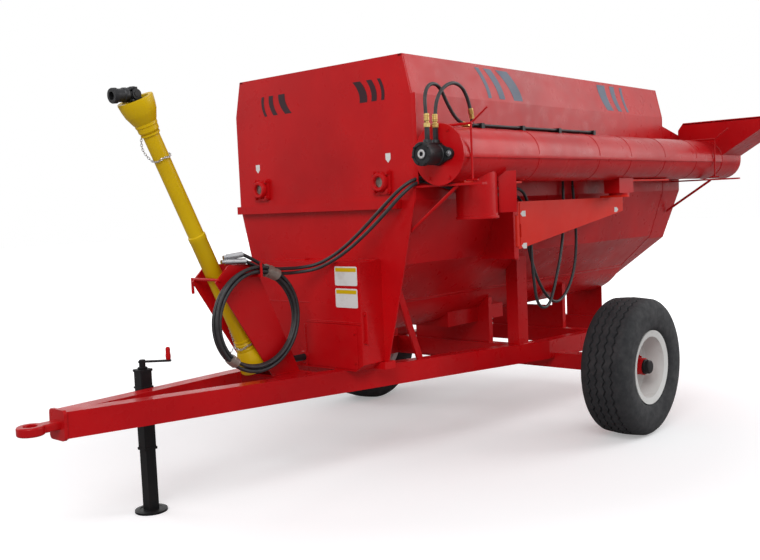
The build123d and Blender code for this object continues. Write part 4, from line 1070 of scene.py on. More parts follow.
    def tape(self, name: str, turn: float, span: float, half: tuple[float, float]) -> bpy.types.Object:
        """Wraps tape round the coil's bundle.

        Args:
            name: The piece's name.
            turn: Place round the coil, in degrees.
            span: Width of the tape along the bundle.
            half: Half sizes of the bundle, outward and across.

        Returns:
            The piece.
        """
        x0, y0, z0 = self.coil_centre
        path, radii = [], []
        for k in range(9):
            t = math.radians(turn) + (k / 8 - 0.5) * span / self.coil_half[0]
            path.append(place(x0 + self.coil_half[0] * math.cos(t), y0, z0 + self.coil_half[1] * math.sin(t)))
            radii.append(half[0] * (1 + 0.035 * math.sin(3.1 * k) + (0.03 if k % 3 == 0 else 0.0)))
        middle = (path[4] - place(x0, y0, z0)).normalized()
        return Shape().pipe(path, radii, 28, squeeze=(half[1] / half[0], 1.0), up=tuple(middle)).piece(
            name, self.shop["PackingTape"], Body.CHASSIS)

    def build(self) -> None:
        """Lays the hoses with their fittings."""
        for name in ("motor_front", "motor_rear"):
            route = [place(*point) for point in getattr(self, name)]
            fitting = self.ferrule(f"fitting_{name}", route[0], Vector((0, 0, 1)), Body.DISCHARGE)
            back = route[-2] - route[-1]
            other = self.ferrule(f"fitting_{name}_pipe", route[-1], back, Body.DISCHARGE, 0.05, 0.0125)
            self.cord(name, route, Body.DISCHARGE)
        for name, (x, z), radial, leave in (
            ("upper", self.couplers[0], 0.0095, self.supply_upper),
            ("lower", self.couplers[1], -0.0095, self.supply_lower),
        ):
            turns = self.coil(radial)
            tail = [place(x, 0.099, z), place(x - 0.055, 0.099, z - 0.022)]
            route = tail + turns + [place(*p) for p in leave]
            nut = self.ferrule(f"fitting_supply_{name}", route[-1], route[-2] - route[-1], Body.CHASSIS)
            self.cord(f"supply_{name}", route, Body.CHASSIS, "coiled")
        for name, start, end in (("loop_front", 0.38, 0.13), ("loop_rear", 0.30, 0.02)):
            self.loop(name, [place(*point) for point in getattr(self, name)], start, end)
        self.tape("tape_top", 113.0, 0.075, (0.030, 0.033))
        self.tape("tape_low", 312.0, 0.042, (0.024, 0.031))


@dataclass
class Wheels:
    """The two wheels: a ribbed implement tyre, a ring of nuts and a black cap each."""

    shop: Workshop
    half_track: float = 1.015
    radius: float = 0.390
    half_width: float = 0.1395
    bead: float = 0.1785
    pitches: int = 44
    grooves: tuple[float, ...] = (-0.066, -0.022, 0.022, 0.066)
    groove_half: float = 0.0048
    groove_depth: float = 0.013
    crown_drop: float = 0.0052
    crown_half: float = 0.080
    zigzag: float = 0.0065
    nut_circle: float = 0.070
    nuts: int = 5

    def profile(self) -> list[tuple[float, float, float]]:
        """Gives the tyre's outline, from bead to bead over the tread.

        Returns:
            Rows of radius, distance outward, and share of the zigzag.
        """
        half, top = self.half_width, self.radius
        side = [(radius, half - inset) for radius, inset in (
            (self.bead, 0.038), (0.209, 0.030), (0.2165, 0.017), (0.232, 0.0085), (0.255, 0.003),
            (0.285, 0.0002), (0.312, 0.0004), (0.318, 0.0022), (0.336, 0.004), (0.352, 0.0095),
            (0.3665, 0.018), (0.3765, 0.029), (0.383, 0.041))]
        rows = [(radius, out, 0.0) for radius, out in side]
        for middle in reversed(self.grooves):
            for way in (1, -1):
                edge = middle + way * self.groove_half
                crown = top - self.crown_drop * (edge / self.crown_half) ** 2
                wall = [(crown - 0.0006, edge + way * 0.0016, 1.0), (crown - 0.003, edge, 1.0),
                        (crown - self.groove_depth, edge - way * 0.0016, 1.0)]
                rows += wall[::way]
            if middle == self.grooves[2]:
                rows.append((top, 0.0, 0.0))
        rows += [(radius, -out, 0.0) for radius, out in reversed(side)]
        return rows

    def tyre(self, label: str, side: int, body: Body) -> None:
        """Makes one tyre: a pitch of tread with a zigzag in its grooves, repeated round the axle.

        Args:
            label: Which wheel it is.
            side: 1 on the wagon's left, -1 on its right.
            body: The body that it rides on.
        """
        centre = place(0, side * self.half_track, self.radius)
        angle = 2 * math.pi / self.pitches
        rings = []
        for share, shift in ((0.0, -1.0), (0.25, 0.0), (0.5, 1.0), (0.75, 0.0), (1.0, -1.0)):
            t = angle * share
            ring = []
            for radius, out, zig in self.profile():
                y = side * out + zig * shift * self.zigzag
                ring.append(centre + Vector((radius * math.cos(t), y, radius * math.sin(t))))
            rings.append(ring)
        pitch = Shape().skin(rings, caps=False).data(f"tread_{label}")
        data = self.shop.ring.grow(pitch, f"tyre_{label}_tread", self.shop["TyreRubber"],
                                   Count=self.pitches, Centre=tuple(centre), Axis=(0.0, 1.0, 0.0))
        settled(data, f"tyre_{label}_tread", body, f"tyre_{label}")

    def fittings(self, label: str, side: int, body: Body) -> None:
        """Adds one wheel's nuts, cap and valve.

        Args:
            label: Which wheel it is.
            side: 1 on the wagon's left, -1 on its right.
            body: The body that they ride on.
        """
        centre = place(0, side * self.half_track, self.radius)
        out = Vector((0, side, 0))
        nut = Shape().lathe([(0, 0), (0.0155, 0), (0.0165, 0.002), (0.0165, 0.011), (0.013, 0.0145),
                             (0.0085, 0.0155), (0.0085, 0.024), (0.007, 0.026), (0, 0.026)],
                            centre + Vector((self.nut_circle, side * 0.0045, 0)), tuple(out), steps=6)
        data = self.shop.ring.grow(nut.data("nut"), f"wheel_{label}_nuts", self.shop["RedEnamel"],
                                   Count=self.nuts, Centre=tuple(centre), Axis=(0.0, 1.0, 0.0))
        settled(data, f"wheel_{label}_nuts", body)
        cap = Shape().lathe([(0, 0.074), (0.0405, 0.0745), (0.042, 0.078), (0.042, 0.088), (0.0385, 0.0905),
                             (0.0378, 0.108), (0.033, 0.1135), (0.020, 0.1145), (0, 0.1145)],
                            centre, tuple(out), 40)
        cap.piece(f"hub_{label}_cap", self.shop["BlackEnamel"], body)
        stem = centre + Vector((0.150, side * 0.030, 0.035))
        Shape().lathe([(0, 0), (0.0055, 0), (0.0048, 0.022), (0.004, 0.024), (0.004, 0.034), (0, 0.035)],
                      stem, (0.25, side, 0.06), 12).piece(
            f"valve_{label}", self.shop["BlackEnamel"], body)

    def build(self) -> None:
        """Builds both wheels."""
        for label, side, body in (("left", 1, Body.WHEEL_LEFT), ("right", -1, Body.WHEEL_RIGHT)):
            self.tyre(label, side, body)
            self.fittings(label, side, body)


@dataclass
class TubDress:
    """The tub's welds, flanges, stripes and bearing bolts."""

    shop: Workshop
    front_x: float = 1.429
    rear_x: float = -1.299
    crease: tuple[float, float] = (0.6325, 1.879)
    top: tuple[float, float] = (0.587, 2.069)
    side_stripes: tuple[tuple[float, float, float, float], ...] = (
        (0.835, 0.770, 0.036, 0.018), (0.742, 0.655, 0.066, 0.022), (0.610, 0.500, 0.108, 0.026),
        (-0.500, -0.560, 0.104, -0.022), (-0.645, -0.690, 0.062, -0.020), (-0.765, -0.795, 0.034, -0.016),
    )
    front_stripes: tuple[tuple[float, float, float, float], ...] = (
        (-0.400, -0.382, 0.020, -0.012), (-0.335, -0.305, 0.034, -0.014), (-0.252, -0.205, 0.050, -0.016),
        (0.290, 0.332, 0.050, 0.016), (0.372, 0.402, 0.034, 0.014), (0.436, 0.458, 0.020, 0.012),
    )
    bearing: tuple[float, float] = (0.437, 1.470)

    def strip_point(self, x: float, share: float, proud: float) -> Vector:
        """Returns a point of the left side's sloping top strip.

        Args:
            x: Length from the axle.
            share: From 0 at the crease to 1 at the mouth.
            proud: How far it stands off the face.

        Returns:
            The point.
        """
        low, high = Vector((0, *self.crease)), Vector((0, *self.top))
        normal = Vector((0, 1, (self.crease[0] - self.top[0]) / (self.top[1] - self.crease[1]))).normalized()
        return place(x, 0, 0) + low.lerp(high, share) + normal * proud

    def front_point(self, y: float, share: float, proud: float) -> Vector:
        """Returns a point of the front plate's stripes.

        Args:
            y: Length to the wagon's left.
            share: From 0 at the stripes' foot to 1 at their top.
            proud: How far it stands off the face.

        Returns:
            The point.
        """
        return place(self.front_x + proud, y, 1.864 + 0.105 * share)

    def stripes(self) -> None:
        """Lays the curved grey stripes on the side strip and the front plate."""
        for name, finish, rows, point, way, reach, narrow in (
            ("stripes_side", "GreyDecal", self.side_stripes, self.strip_point, 1, (0.07, 0.83), 0.2),
            ("stripes_front", "DarkDecal", self.front_stripes, self.front_point, -1, (0.0, 1.0), 0.0),
        ):
            shape = Shape()
            for top, low, width, bulge in rows:
                rings = []
                for k in range(13):
                    share = k / 12
                    middle = low + (top - low) * share - way * bulge * 4 * share * (1 - share)
                    along = reach[0] + reach[1] * share
                    half = way * width / 2 * (1 - narrow + narrow * share)
                    rings.append([point(middle + half * edge, along, proud) for edge, proud in
                                  ((1, -0.0002), (1, 0.0008), (-1, 0.0008), (-1, -0.0002))])
                shape.skin(rings)
            shape.piece(name, self.shop[finish], Body.CHASSIS)

    def welds(self) -> None:
        """Lays the tub's visible weld beads."""
        x, back = self.front_x - 0.0078, self.rear_x + 0.008
        edge = [(0.587, 2.067), (0.6325, 1.879), (0.6325, 1.377), (0.533, 1.067), (0.300, 0.850)]
        lines = [[place(end, side * y, z) for y, z in edge] for end in (x, back) for side in (1, -1)]
        self.shop.welds("tub_end_welds", lines, Body.CHASSIS, radius=0.0028)
        seams = [[place(x, side * 0.300, 0.850), place(back, side * 0.300, 0.850)] for side in (1, -1)]
        self.shop.welds("trough_welds", seams, Body.CHASSIS, radius=0.0030)

    def flanges(self) -> None:
        """Adds the corner flange, the mouth's folded rim and the strip on the trough's seam."""
        shape = Shape()
        shape.bar(place(1.4265, 0.6455, 1.450), place(1.4265, 0.6455, 1.880), 0.005, 0.026, (0, 1, 0))
        half, high = self.top[0], self.top[1] - 0.006
        for side in (1, -1):
            rim, seam = side * (half - 0.013), side * 0.299
            shape.bar(place(self.rear_x, rim, high), place(self.front_x, rim, high), 0.026, 0.012)
            shape.bar(place(self.rear_x, seam, 0.8495), place(self.front_x - 0.010, seam, 0.8495),
                      0.022, 0.006, (0, side * -0.68, 0.73))
        for x in (self.front_x - 0.015, self.rear_x + 0.012):
            shape.bar(place(x, -half, high), place(x, half, high), 0.026, 0.012)
        shape.piece("tub_flanges", self.shop["RedEnamel"], Body.CHASSIS)

    def bearings(self) -> None:
        """Adds the bolts, the seal rings and the shaft ends of the two front bearings."""
        y, z = self.bearing
        reach = 0.043
        rows = [(place(self.front_x + 0.014, side * y + dy * reach, z + dz * reach), (1.0, 0.0, 0.0))
                for side in (1, -1) for dy in (1, -1) for dz in (1, -1)]
        self.shop.bolts("bearing_bolts", rows, Body.CHASSIS, "RedEnamel", 0.0105, 0.008)
        rings = Shape()
        for side in (1, -1):
            centre = place(self.front_x + 0.014, side * y, z)
            rings.lathe([(0.0275, 0.022), (0.0305, 0.0265), (0.040, 0.0268), (0.046, 0.020), (0.0485, 0.006),
                         (0.0445, 0.001), (0.0275, 0.001)], centre, (1, 0, 0), 40)
            rings.lathe([(0, 0), (0.0045, 0), (0.0045, 0.008), (0.003, 0.010), (0.0035, 0.014), (0, 0.015)],
                        centre + Vector((0.012, 0, 0.044)), (0.6, 0, 1), 10)
        rings.piece("bearing_rings", self.shop["RedEnamel"], Body.CHASSIS)

    def arrows(self) -> None:
        """Adds the two plain arrows above the bearings."""
        shape = Shape()
        for y in (-0.471, 0.477):
            shape.arrow(place(self.front_x - 0.0002, y, 1.562), Vector((0, 0, 0.046)),
                        Vector((0, 0.016, 0)), Vector((0.0008, 0, 0)))
        shape.piece("bearing_arrows", self.shop["WhiteEnamel"], Body.CHASSIS)

    def build(self) -> None:
        """Builds the tub's dress."""
        self.stripes()
        self.welds()
        self.flanges()
        self.bearings()
        self.arrows()


@dataclass
class DischargeDress:
    """The discharge tube's weld rings and strips, its end bolts, motor, spout and hopper rims."""

    shop: Workshop
    centre: tuple[float, float] = (0.800, 1.580)
    radius: float = 0.130
    rings: tuple[float, ...] = (0.790, 0.160, -0.220, -0.680, -1.160)
    under_bars: tuple[tuple[float, float, float], ...] = (
        (1.323, 1.236, 1.4525), (1.011, 0.832, 1.4455), (-0.390, -0.911, 1.4455),
    )
    end_x: float = 1.448
    motor_x: float = 1.468
    motor_radius: float = 0.050

    def hoop(self, x: float, radius: float) -> list[Vector]:
        """Gives the points of a ring round the tube.

        Args:
            x: Length from the axle.
            radius: The ring's radius.

        Returns:
            The points.
        """
        y, z = self.centre
        turns = [2 * math.pi * k / 64 for k in range(64)]
        return [place(x, y + radius * math.cos(t), z + radius * math.sin(t)) for t in turns]

    def tube(self) -> None:
        """Adds the tube's weld rings, its side strip and the bars under it."""
        y, z = self.centre
        self.shop.welds("tube_ring_welds", [self.hoop(x, self.radius + 0.0002) for x in self.rings],
                        Body.DISCHARGE, radius=0.0024, closed=True)
        self.shop.welds("tube_end_welds", [self.hoop(1.4395, self.radius + 0.001),
                                           self.hoop(-1.6005, self.radius + 0.0005)],
                        Body.DISCHARGE, radius=0.0036, closed=True)
        strip = Shape()
        strip.bar(place(1.436, y + self.radius + 0.0005, z - 0.010),
                  place(-1.590, y + self.radius + 0.0005, z - 0.010), 0.006, 0.020)
        strip.piece("tube_side_strip", self.shop["RedEnamel"], Body.DISCHARGE)
        bars = Shape()
        for front, rear, low in self.under_bars:
            bars.bar(place(front, y + 0.030, low), place(rear, y + 0.030, low), 0.034, 0.010)
        bars.piece("tube_under_bars", self.shop["OrangeEnamel"], Body.DISCHARGE)
        lip = Shape()
        lip.bar(place(1.052, 0.906, 1.300), place(1.052, 0.906, 1.500), 0.008, 0.086, (-0.58, 0.81, 0))
        lip.piece("spout_lip", self.shop["RedEnamel"], Body.DISCHARGE)
        rim = Shape()
        rim.lathe([(0.0945, 0.0), (0.1045, 0.0), (0.1055, 0.003), (0.1045, 0.012), (0.0995, 0.014),
                   (0.0945, 0.014)], place(1.160, 0.800, 1.275), (0, 0, 1), 56)
        rim.piece("spout_rim", self.shop["RedEnamel"], Body.DISCHARGE)

    def hopper(self) -> None:
        """Adds the folded rim of the inlet hopper's mouth and its corner welds."""
        rim = Shape()
        front, rear, near, far, top = -1.600, -1.950, 0.652, 1.200, 1.850
        for start, end, wide, deep in (
            (place(front - 0.012, near, top - 0.010), place(front - 0.012, far, top - 0.010), 0.024, 0.008),
            (place(rear + 0.012, near, top - 0.010), place(rear + 0.012, far, top - 0.010), 0.024, 0.008),
            (place(front, far - 0.010, top - 0.010), place(rear, far - 0.010, top - 0.010), 0.020, 0.008),
        ):
            rim.bar(start, end, wide, deep)
        rim.piece("hopper_rim", self.shop["RedEnamel"], Body.DISCHARGE)
        y, z = self.centre
        corner = [place(front - 0.001, y + self.radius, z + 0.028), place(front - 0.001, far - 0.0025, 1.770),
                  place(front - 0.001, far - 0.0025, top - 0.003)]
        back = [point + Vector((rear - front + 0.002, 0, 0)) for point in corner]
        self.shop.welds("hopper_welds", [corner, back], Body.DISCHARGE, radius=0.0022)

    def motor(self) -> None:
        """Replaces the motor with a cast one: flange, ribbed body, gear ring, ports and shaft bore."""
        y, z = self.centre
        foot = place(self.end_x, y, z)
        body = Shape()
        outline = []
        for k in range(72):
            t = 2 * math.pi * k / 72
            lug = max(0.0, abs(math.cos(t)) - 0.80) / 0.20
            r = 0.0515 + 0.0385 * lug ** 1.4
            outline.append(foot + Vector((0, r * math.cos(t), r * math.sin(t))))
        body.prism(outline, Vector((0.018, 0, 0)), 0.0022)
        body.lathe([(0, 0.012), (0.0495, 0.012), (0.0495, 0.026), (0.046, 0.029), (0.046, 0.052),
                    (0.0492, 0.055), (0.0492, 0.100), (0.0465, 0.103), (0.0465, 0.106), (0.054, 0.108),
                    (0.054, 0.127), (0.0515, 0.130), (0.041, 0.1305), (0.0405, 0.126), (0.027, 0.126),
                    (0.0262, 0.129), (0.0215, 0.129), (0.0215, 0.110), (0, 0.110)], foot, (1, 0, 0), 56)
        for x in (1.528, 1.467):
            port = place(x, y, z)
            body.lathe([(0, 0.030), (0.0195, 0.030), (0.0195, 0.062), (0.0175, 0.066), (0, 0.066)],
                       port, (0, 0, 1), 28)
            body.lathe([(0, 0.060), (0.0128, 0.060), (0.0128, 0.118), (0.0115, 0.1200), (0, 0.1200)],
                       port, (0, 0, 1), 6)
        body.bar(place(1.448, y, z + 0.040), place(1.560, y, z + 0.040), 0.046, 0.024, bevel=0.003)
        body.piece("motor_body", self.shop["DarkIron"], Body.DISCHARGE, "tube_motor")
        rows = [(place(self.motor_x - 0.002, y + side * 0.072, z), (1.0, 0.0, 0.0)) for side in (1, -1)]
        self.shop.bolts("motor_bolts", rows, Body.DISCHARGE, "BrightSteel", 0.0105, 0.008)
        screw = Shape().lathe([(0, 0), (0.0052, 0), (0.0056, 0.001), (0.0056, 0.0045), (0.0048, 0.0055),
                               (0.0026, 0.0055), (0.0024, 0.0035), (0, 0.0035)],
                              foot + Vector((0.1302, 0, 0.0465)), (1, 0, 0), 14)
        data = self.shop.ring.grow(screw.data("screw"), "motor_screws", self.shop["DarkIron"], Count=7,
                                   Centre=tuple(foot), Axis=(1.0, 0.0, 0.0))
        settled(data, "motor_screws", Body.DISCHARGE)
        bore = Shape().lathe([(0.0205, 0.100), (0.0205, 0.1285), (0.0175, 0.1290), (0.0105, 0.1285),
                              (0.0105, 0.100)], foot, (1, 0, 0), 32)
        bore.piece("motor_bore", self.shop["BrightSteel"], Body.DISCHARGE)
        ends = [(place(self.end_x - 0.001, y + 0.122 * math.cos(t), z + 0.122 * math.sin(t)), (1.0, 0.0, 0.0))
                for t in (math.radians(a) for a in (62, 118, 242, 298))]
        self.shop.bolts("end_plate_bolts", ends, Body.DISCHARGE, "RedEnamel", 0.0075, 0.0055)

    def build(self) -> None:
        """Builds the tube's dress."""
        self.tube()
        self.hopper()
        self.motor()


@dataclass
class ArmDress:
    """The swing arm's hinge heads, weld beads and plain arrows."""

    shop: Workshop
    hinge: tuple[float, float] = (0.700, 0.712)
    face_y: float = 0.720

    def uprights(self, *rows: tuple[float, float, float, float]) -> list[list[Vector]]:
        """Returns upright bead lines.

        Args:
            rows: X, Y, lowest and highest Z of each.

        Returns:
            The two points of each line.
        """
        return [[place(x, y, low), place(x, y, high)] for x, y, low, high in rows]

    def build(self) -> None:
        """Builds the arm's dress."""
        x, y = self.hinge
        heads = Shape()
        for z, way in ((1.337, 1), (1.049, -1)):
            heads.lathe([(0, 0), (0.0145, 0), (0.0155, 0.0015), (0.0155, 0.0065), (0.012, 0.009),
                         (0, 0.0092)], place(x, y, z), (0, 0, way), 28)
        heads.piece("hinge_heads", self.shop["RedEnamel"], Body.CHASSIS)
        self.shop.welds("arm_welds", self.uprights((0.684, self.face_y - 0.001, 1.115, 1.275),
                                                   (0.662, self.face_y + 0.0004, 1.110, 1.340)),
                        Body.ARM, "OrangeEnamel", 0.0024)
        arrows = Shape()
        out, across = Vector((0, 0.0008, 0)), Vector((0, 0, 0.0150))
        for tip_x, tip_z, way in ((0.656, 1.283, -1), (0.652, 1.112, -1), (-0.352, 1.272, 1)):
            tip = place(tip_x if way < 0 else tip_x - 0.100, self.face_y - 0.0002, tip_z)
            arrows.arrow(tip, Vector((0.050 * way, 0, 0)), across, out)
        arrows.piece("arm_arrows", self.shop["WhiteEnamel"], Body.ARM)
        self.shop.welds("bracket_welds", self.uprights((0.740, 0.729, 1.055, 1.330),
                                                       (0.722, 0.640, 1.060, 1.330)),
                        Body.CHASSIS, radius=0.0026)


@dataclass
class CasingDress:
    """The chain casing's seams, hinge, latch and blank plates."""

    shop: Workshop
    face: float = 1.588
    hinge_y: float = 0.016
    hinge_run: tuple[float, float] = (0.556, 0.776)
    knuckles: int = 9
    plates: tuple[tuple[float, float, float, float], ...] = (
        (0.237, 0.386, 0.976, 1.070), (0.237, 0.384, 0.868, 0.962),
    )

    def plate(self, low_y: float, high_y: float, low_z: float, high_z: float, x: float,
              corner: float = 0.008) -> list[Vector]:
        """Draws an upright plate with round corners that faces forward.

        Args:
            low_y: Its right edge.
            high_y: Its left edge.
            low_z: Its lower edge.
            high_z: Its upper edge.
            x: Length from the axle.
            corner: Radius of its corners.

        Returns:
            The points of its outline.
        """
        outline = []
        for y, z, start in ((high_y - corner, high_z - corner, 0), (low_y + corner, high_z - corner, 90),
                            (low_y + corner, low_z + corner, 180), (high_y - corner, low_z + corner, 270)):
            for k in range(5):
                t = math.radians(start + 22.5 * k)
                outline.append(place(x, y + corner * math.cos(t), z + corner * math.sin(t)))
        return outline

    def build(self) -> None:
        """Builds the casing's dress."""
        x = self.face
        low, high = self.hinge_run
        pitch = (high - low) / self.knuckles
        barrel = Shape()
        for k in range(self.knuckles):
            foot = place(x + 0.0040, self.hinge_y, low + k * pitch + 0.0008)
            barrel.lathe([(0, 0), (0.0046, 0), (0.0052, 0.0006), (0.0052, pitch - 0.0022),
                          (0.0046, pitch - 0.0016), (0, pitch - 0.0016)], foot, (0, 0, 1), 16)
        barrel.piece("door_hinge_barrel", self.shop["RedEnamel"], Body.CHASSIS)
        beads = [[place(x - sunk, y0, z0), place(x - sunk, y1, z1)] for sunk, y0, z0, y1, z1 in (
            (0, 0.030, 0.797, 0.400, 0.797), (0, -0.400, 0.886, 0.055, 0.886), (0, 0.006, low, 0.006, high),
            (0.002, -0.401, 1.0885, 0.401, 1.0885), (0.001, 0.4015, 0.600, 0.4015, 1.088),
            (0.001, -0.4015, 0.600, -0.4015, 1.088))]
        self.shop.welds("casing_welds", beads, Body.CHASSIS, radius=0.0024)
        fold = Shape()
        fold.bar(place(x - 0.002, 0.026, 0.7895), place(x - 0.002, 0.398, 0.7895), 0.010, 0.006)
        fold.bar(place(1.560, 0.4085, 0.690), place(1.560, 0.4085, 0.850), 0.014, 0.009, (1, 0, 0), 0.002)
        for z in (0.700, 0.838):
            fold.bar(place(1.548, 0.4065, z), place(1.574, 0.4065, z), 0.008, 0.010)
        for near, far in ((-0.247, -0.093), (0.262, 0.396)):
            fold.bar(place(1.452, near, 1.093), place(1.452, far, 1.093), 0.030, 0.007)
        fold.piece("casing_folds", self.shop["RedEnamel"], Body.CHASSIS)
        rows = [(place(x + 0.0042, 0.356, z), (1.0, 0.0, 0.0)) for z in (0.600, 0.745)]
        self.shop.bolts("door_screws", rows, Body.DOOR, "RedEnamel", 0.0065, 0.0045)
        blank, band = Shape(), Shape()
        for low_y, high_y, low_z, high_z in self.plates:
            blank.prism(self.plate(low_y, high_y, low_z, high_z, x - 0.0002), Vector((0.0012, 0, 0)), 0)
            stripe = self.plate(low_y + 0.006, high_y - 0.006, high_z - 0.026, high_z - 0.007,
                                x + 0.0006, 0.002)
            band.prism(stripe, Vector((0.0008, 0, 0)), 0)
        blank.piece("blank_plates", self.shop["WhiteEnamel"], Body.CHASSIS)
        band.piece("plate_bands", self.shop["YellowPlastic"], Body.CHASSIS)


@dataclass
class ShaftDress:
    """The parked drive shaft: its yellow guard, the safety chains and the two universal joints."""

    shop: Workshop
    low: tuple[float, float] = (1.927, 0.609)
    high: tuple[float, float] = (2.511, 1.851)
    low_joint: float = 0.006
    high_joint: float = 0.024
    tilt: float = -6.0
    chain_turn: float = 221.0

    @property
    def run(self) -> Vector:
        """The way up the shaft."""
        return Vector((self.high[0] - self.low[0], 0, self.high[1] - self.low[1]))

    def guard(self) -> None:
        """Replaces the guard with two telescoping tubes, ribbed collars and bells."""
        foot, length, way = place(self.low[0], 0, self.low[1]), self.run.length, tuple(self.run.normalized())
        low_bell = [(0.0600, -0.004), (0.0725, -0.005), (0.0738, 0.000), (0.0722, 0.030), (0.0680, 0.0600),
                    (0.0655, 0.066), (0.0530, 0.100), (0.0500, 0.104), (0.0500, 0.116), (0.0470, 0.120),
                    (0.0462, 0.140), (0.0405, 0.148)]
        top_bell = [(radius * (1.0 + 0.085 * max(0.0, 1 - along / 0.100)), length - along)
                    for radius, along in reversed(low_bell)]
        tube = [(0.0400, 0.148), (0.0400, 0.690), (0.0412, 0.692), (0.0412, 0.716), (0.0368, 0.720),
                (0.0368, length - 0.148)]
        inner = [(0.060, length + 0.004), (0.052, length - 0.040), (0.0245, length - 0.062),
                 (0.0245, 0.062), (0.050, 0.040)]
        shape = Shape().lathe(low_bell + tube + top_bell + inner, foot, way, 56)
        shape.piece("shaft_guard", self.shop["YellowPlastic"], Body.CHASSIS, "pto_guard")
        rib = Shape().lathe([(0.0395, 0.1500), (0.0445, 0.1505), (0.0445, 0.1590), (0.0395, 0.1600)],
                            foot, way, 48)
        rib.lathe([(0.0365, length - 0.1600), (0.0430, length - 0.1590), (0.0430, length - 0.1505),
                   (0.0365, length - 0.1500)], foot, way, 48)
        rib.piece("guard_collars", self.shop["YellowPlastic"], Body.CHASSIS)

    def beside(self, along: float, turn: float, radius: float) -> Vector:
        """Returns a point beside the guard.

        Args:
            along: How far up the guard.
            turn: Where round it, in degrees from the wagon's left towards its rear.
            radius: How far from its axis.

        Returns:
            The point.
        """
        way, side, t = self.run.normalized(), Vector((0, 1, 0)), math.radians(turn)
        out = side * math.cos(t) - side.cross(way) * math.sin(t)
        return place(self.low[0], 0, self.low[1]) + way * along + out * radius

    def chains(self) -> None:
        """Hangs the two safety chains on the guard: a ring round it and a short bow each."""
        length, turn = self.run.length, self.chain_turn
        steps, turns = range(11), range(1, 25)
        sag = [math.sin(math.pi * k / 10) for k in steps]
        low_bow = [self.beside(0.130 - 0.007 * k, turn, 0.0500 + 0.030 * sag[k] + 0.0022 * k) for k in steps]
        low_ring = [self.beside(0.130 + 0.004 * math.sin(k), turn + 15 * k, 0.0500) for k in turns]
        low_tail = [self.beside(0.134 + 0.010 * k, turn - 2 * k, 0.0490 - 0.0005 * k) for k in steps]
        high_bow = [self.beside(length - 0.160 - 0.011 * k, turn, 0.0450 + 0.016 * sag[k]) for k in steps]
        high_ring = [self.beside(length - 0.270 + 0.003 * math.sin(k), turn + 15 * k, 0.0425) for k in turns]
        paths = [low_bow[::-1] + low_ring, low_tail, high_bow + high_ring]
        data = self.shop.linking.grow(polyline("chain_line", paths), "safety_chains",
                                      self.shop["BrightSteel"], Link=0.0105, Wire=0.00115)
        settled(data, "safety_chains", Body.CHASSIS)

    def joint(self, shape: Shape, centre: Vector, inward: Vector, outward: Vector, reach: float,
              tail: float) -> None:
        """Adds one universal joint: a cross between two forks.

        Args:
            shape: The mesh to add to.
            centre: The cross's middle.
            inward: The way to the shaft.
            outward: The way to the coupling.
            reach: From the cross to the shaft fork's root.
            tail: Length of the outer yoke's hub.
        """
        side = Vector((0, 1, 0))
        other = side.cross(outward).normalized()
        for axis in (side, other):
            shape.lathe([(0, -0.034), (0.0125, -0.034), (0.0135, -0.031), (0.0135, -0.020), (0.0095, -0.018),
                         (0.0095, 0.018), (0.0135, 0.020), (0.0135, 0.031), (0.0125, 0.034), (0, 0.034)],
                        centre, tuple(axis), 24)
        for way, axis, length in ((inward, side, reach), (outward, other, reach * 0.78)):
            for sign in (1, -1):
                ear = centre + axis * (0.0255 * sign)
                shape.lathe([(0.0135, -0.006), (0.0215, -0.006), (0.0225, -0.004), (0.0225, 0.004),
                             (0.0215, 0.006), (0.0135, 0.006)], ear, tuple(axis), 28)
                shape.bar(ear + way * 0.017, centre + axis * (0.0215 * sign) + way * length, 0.033, 0.0115,
                          tuple(axis), bevel=0.003)
        shape.lathe([(0, reach - 0.012), (0.0295, reach - 0.010), (0.0305, reach - 0.004),
                     (0.0240, reach + 0.012), (0.0240, reach + 0.060), (0, reach + 0.060)],
                    centre, tuple(inward), 36)
        root = reach * 0.78
        shape.lathe([(0.0178, root - 0.006), (0.0300, root - 0.006), (0.0320, root), (0.0320, root + 0.014),
                     (0.0285, root + 0.019), (0.0285, root + tail - 0.024), (0.0330, root + tail - 0.021),
                     (0.0330, root + tail - 0.004), (0.0310, root + tail), (0.0178, root + tail)],
                    centre, tuple(outward), 40)

    def joints(self) -> None:
        """Replaces the bare shaft with its joints, the square tube inside the guard and the input stub."""
        way = self.run.normalized()
        foot, head = place(self.low[0], 0, self.low[1]), place(self.high[0], 0, self.high[1])
        low_cross, high_cross = foot - way * self.low_joint, head + way * self.high_joint
        tilt = math.radians(self.tilt)
        steel = Shape()
        self.joint(steel, low_cross, way, Vector((-1, 0, 0)), 0.046, 0.100)
        self.joint(steel, high_cross, -way, Vector((math.cos(tilt), 0, math.sin(tilt))), 0.046, 0.070)
        steel.bar(foot + way * 0.030, head - way * 0.030, 0.030, 0.030, (0, 1, 0), bevel=0.003)
        steel.lathe([(0, 0), (0.0172, 0), (0.0172, 0.290), (0, 0.290)], place(1.590, 0, low_cross.z),
                    (1, 0, 0), 32)
        steel.piece("shaft_joints", self.shop["DarkIron"], Body.CHASSIS, "pto_shaft")
        collar = Shape().lathe([(0.0176, 0), (0.030, 0), (0.031, 0.001), (0.031, 0.006), (0.028, 0.008),
                                (0.0176, 0.008)], place(1.5885, 0, low_cross.z), (1, 0, 0), 40)
        collar.piece("input_collar", self.shop["RedEnamel"], Body.CHASSIS)

    def build(self) -> None:
        """Builds the drive shaft's dress."""
        self.guard()
        self.chains()
        self.joints()


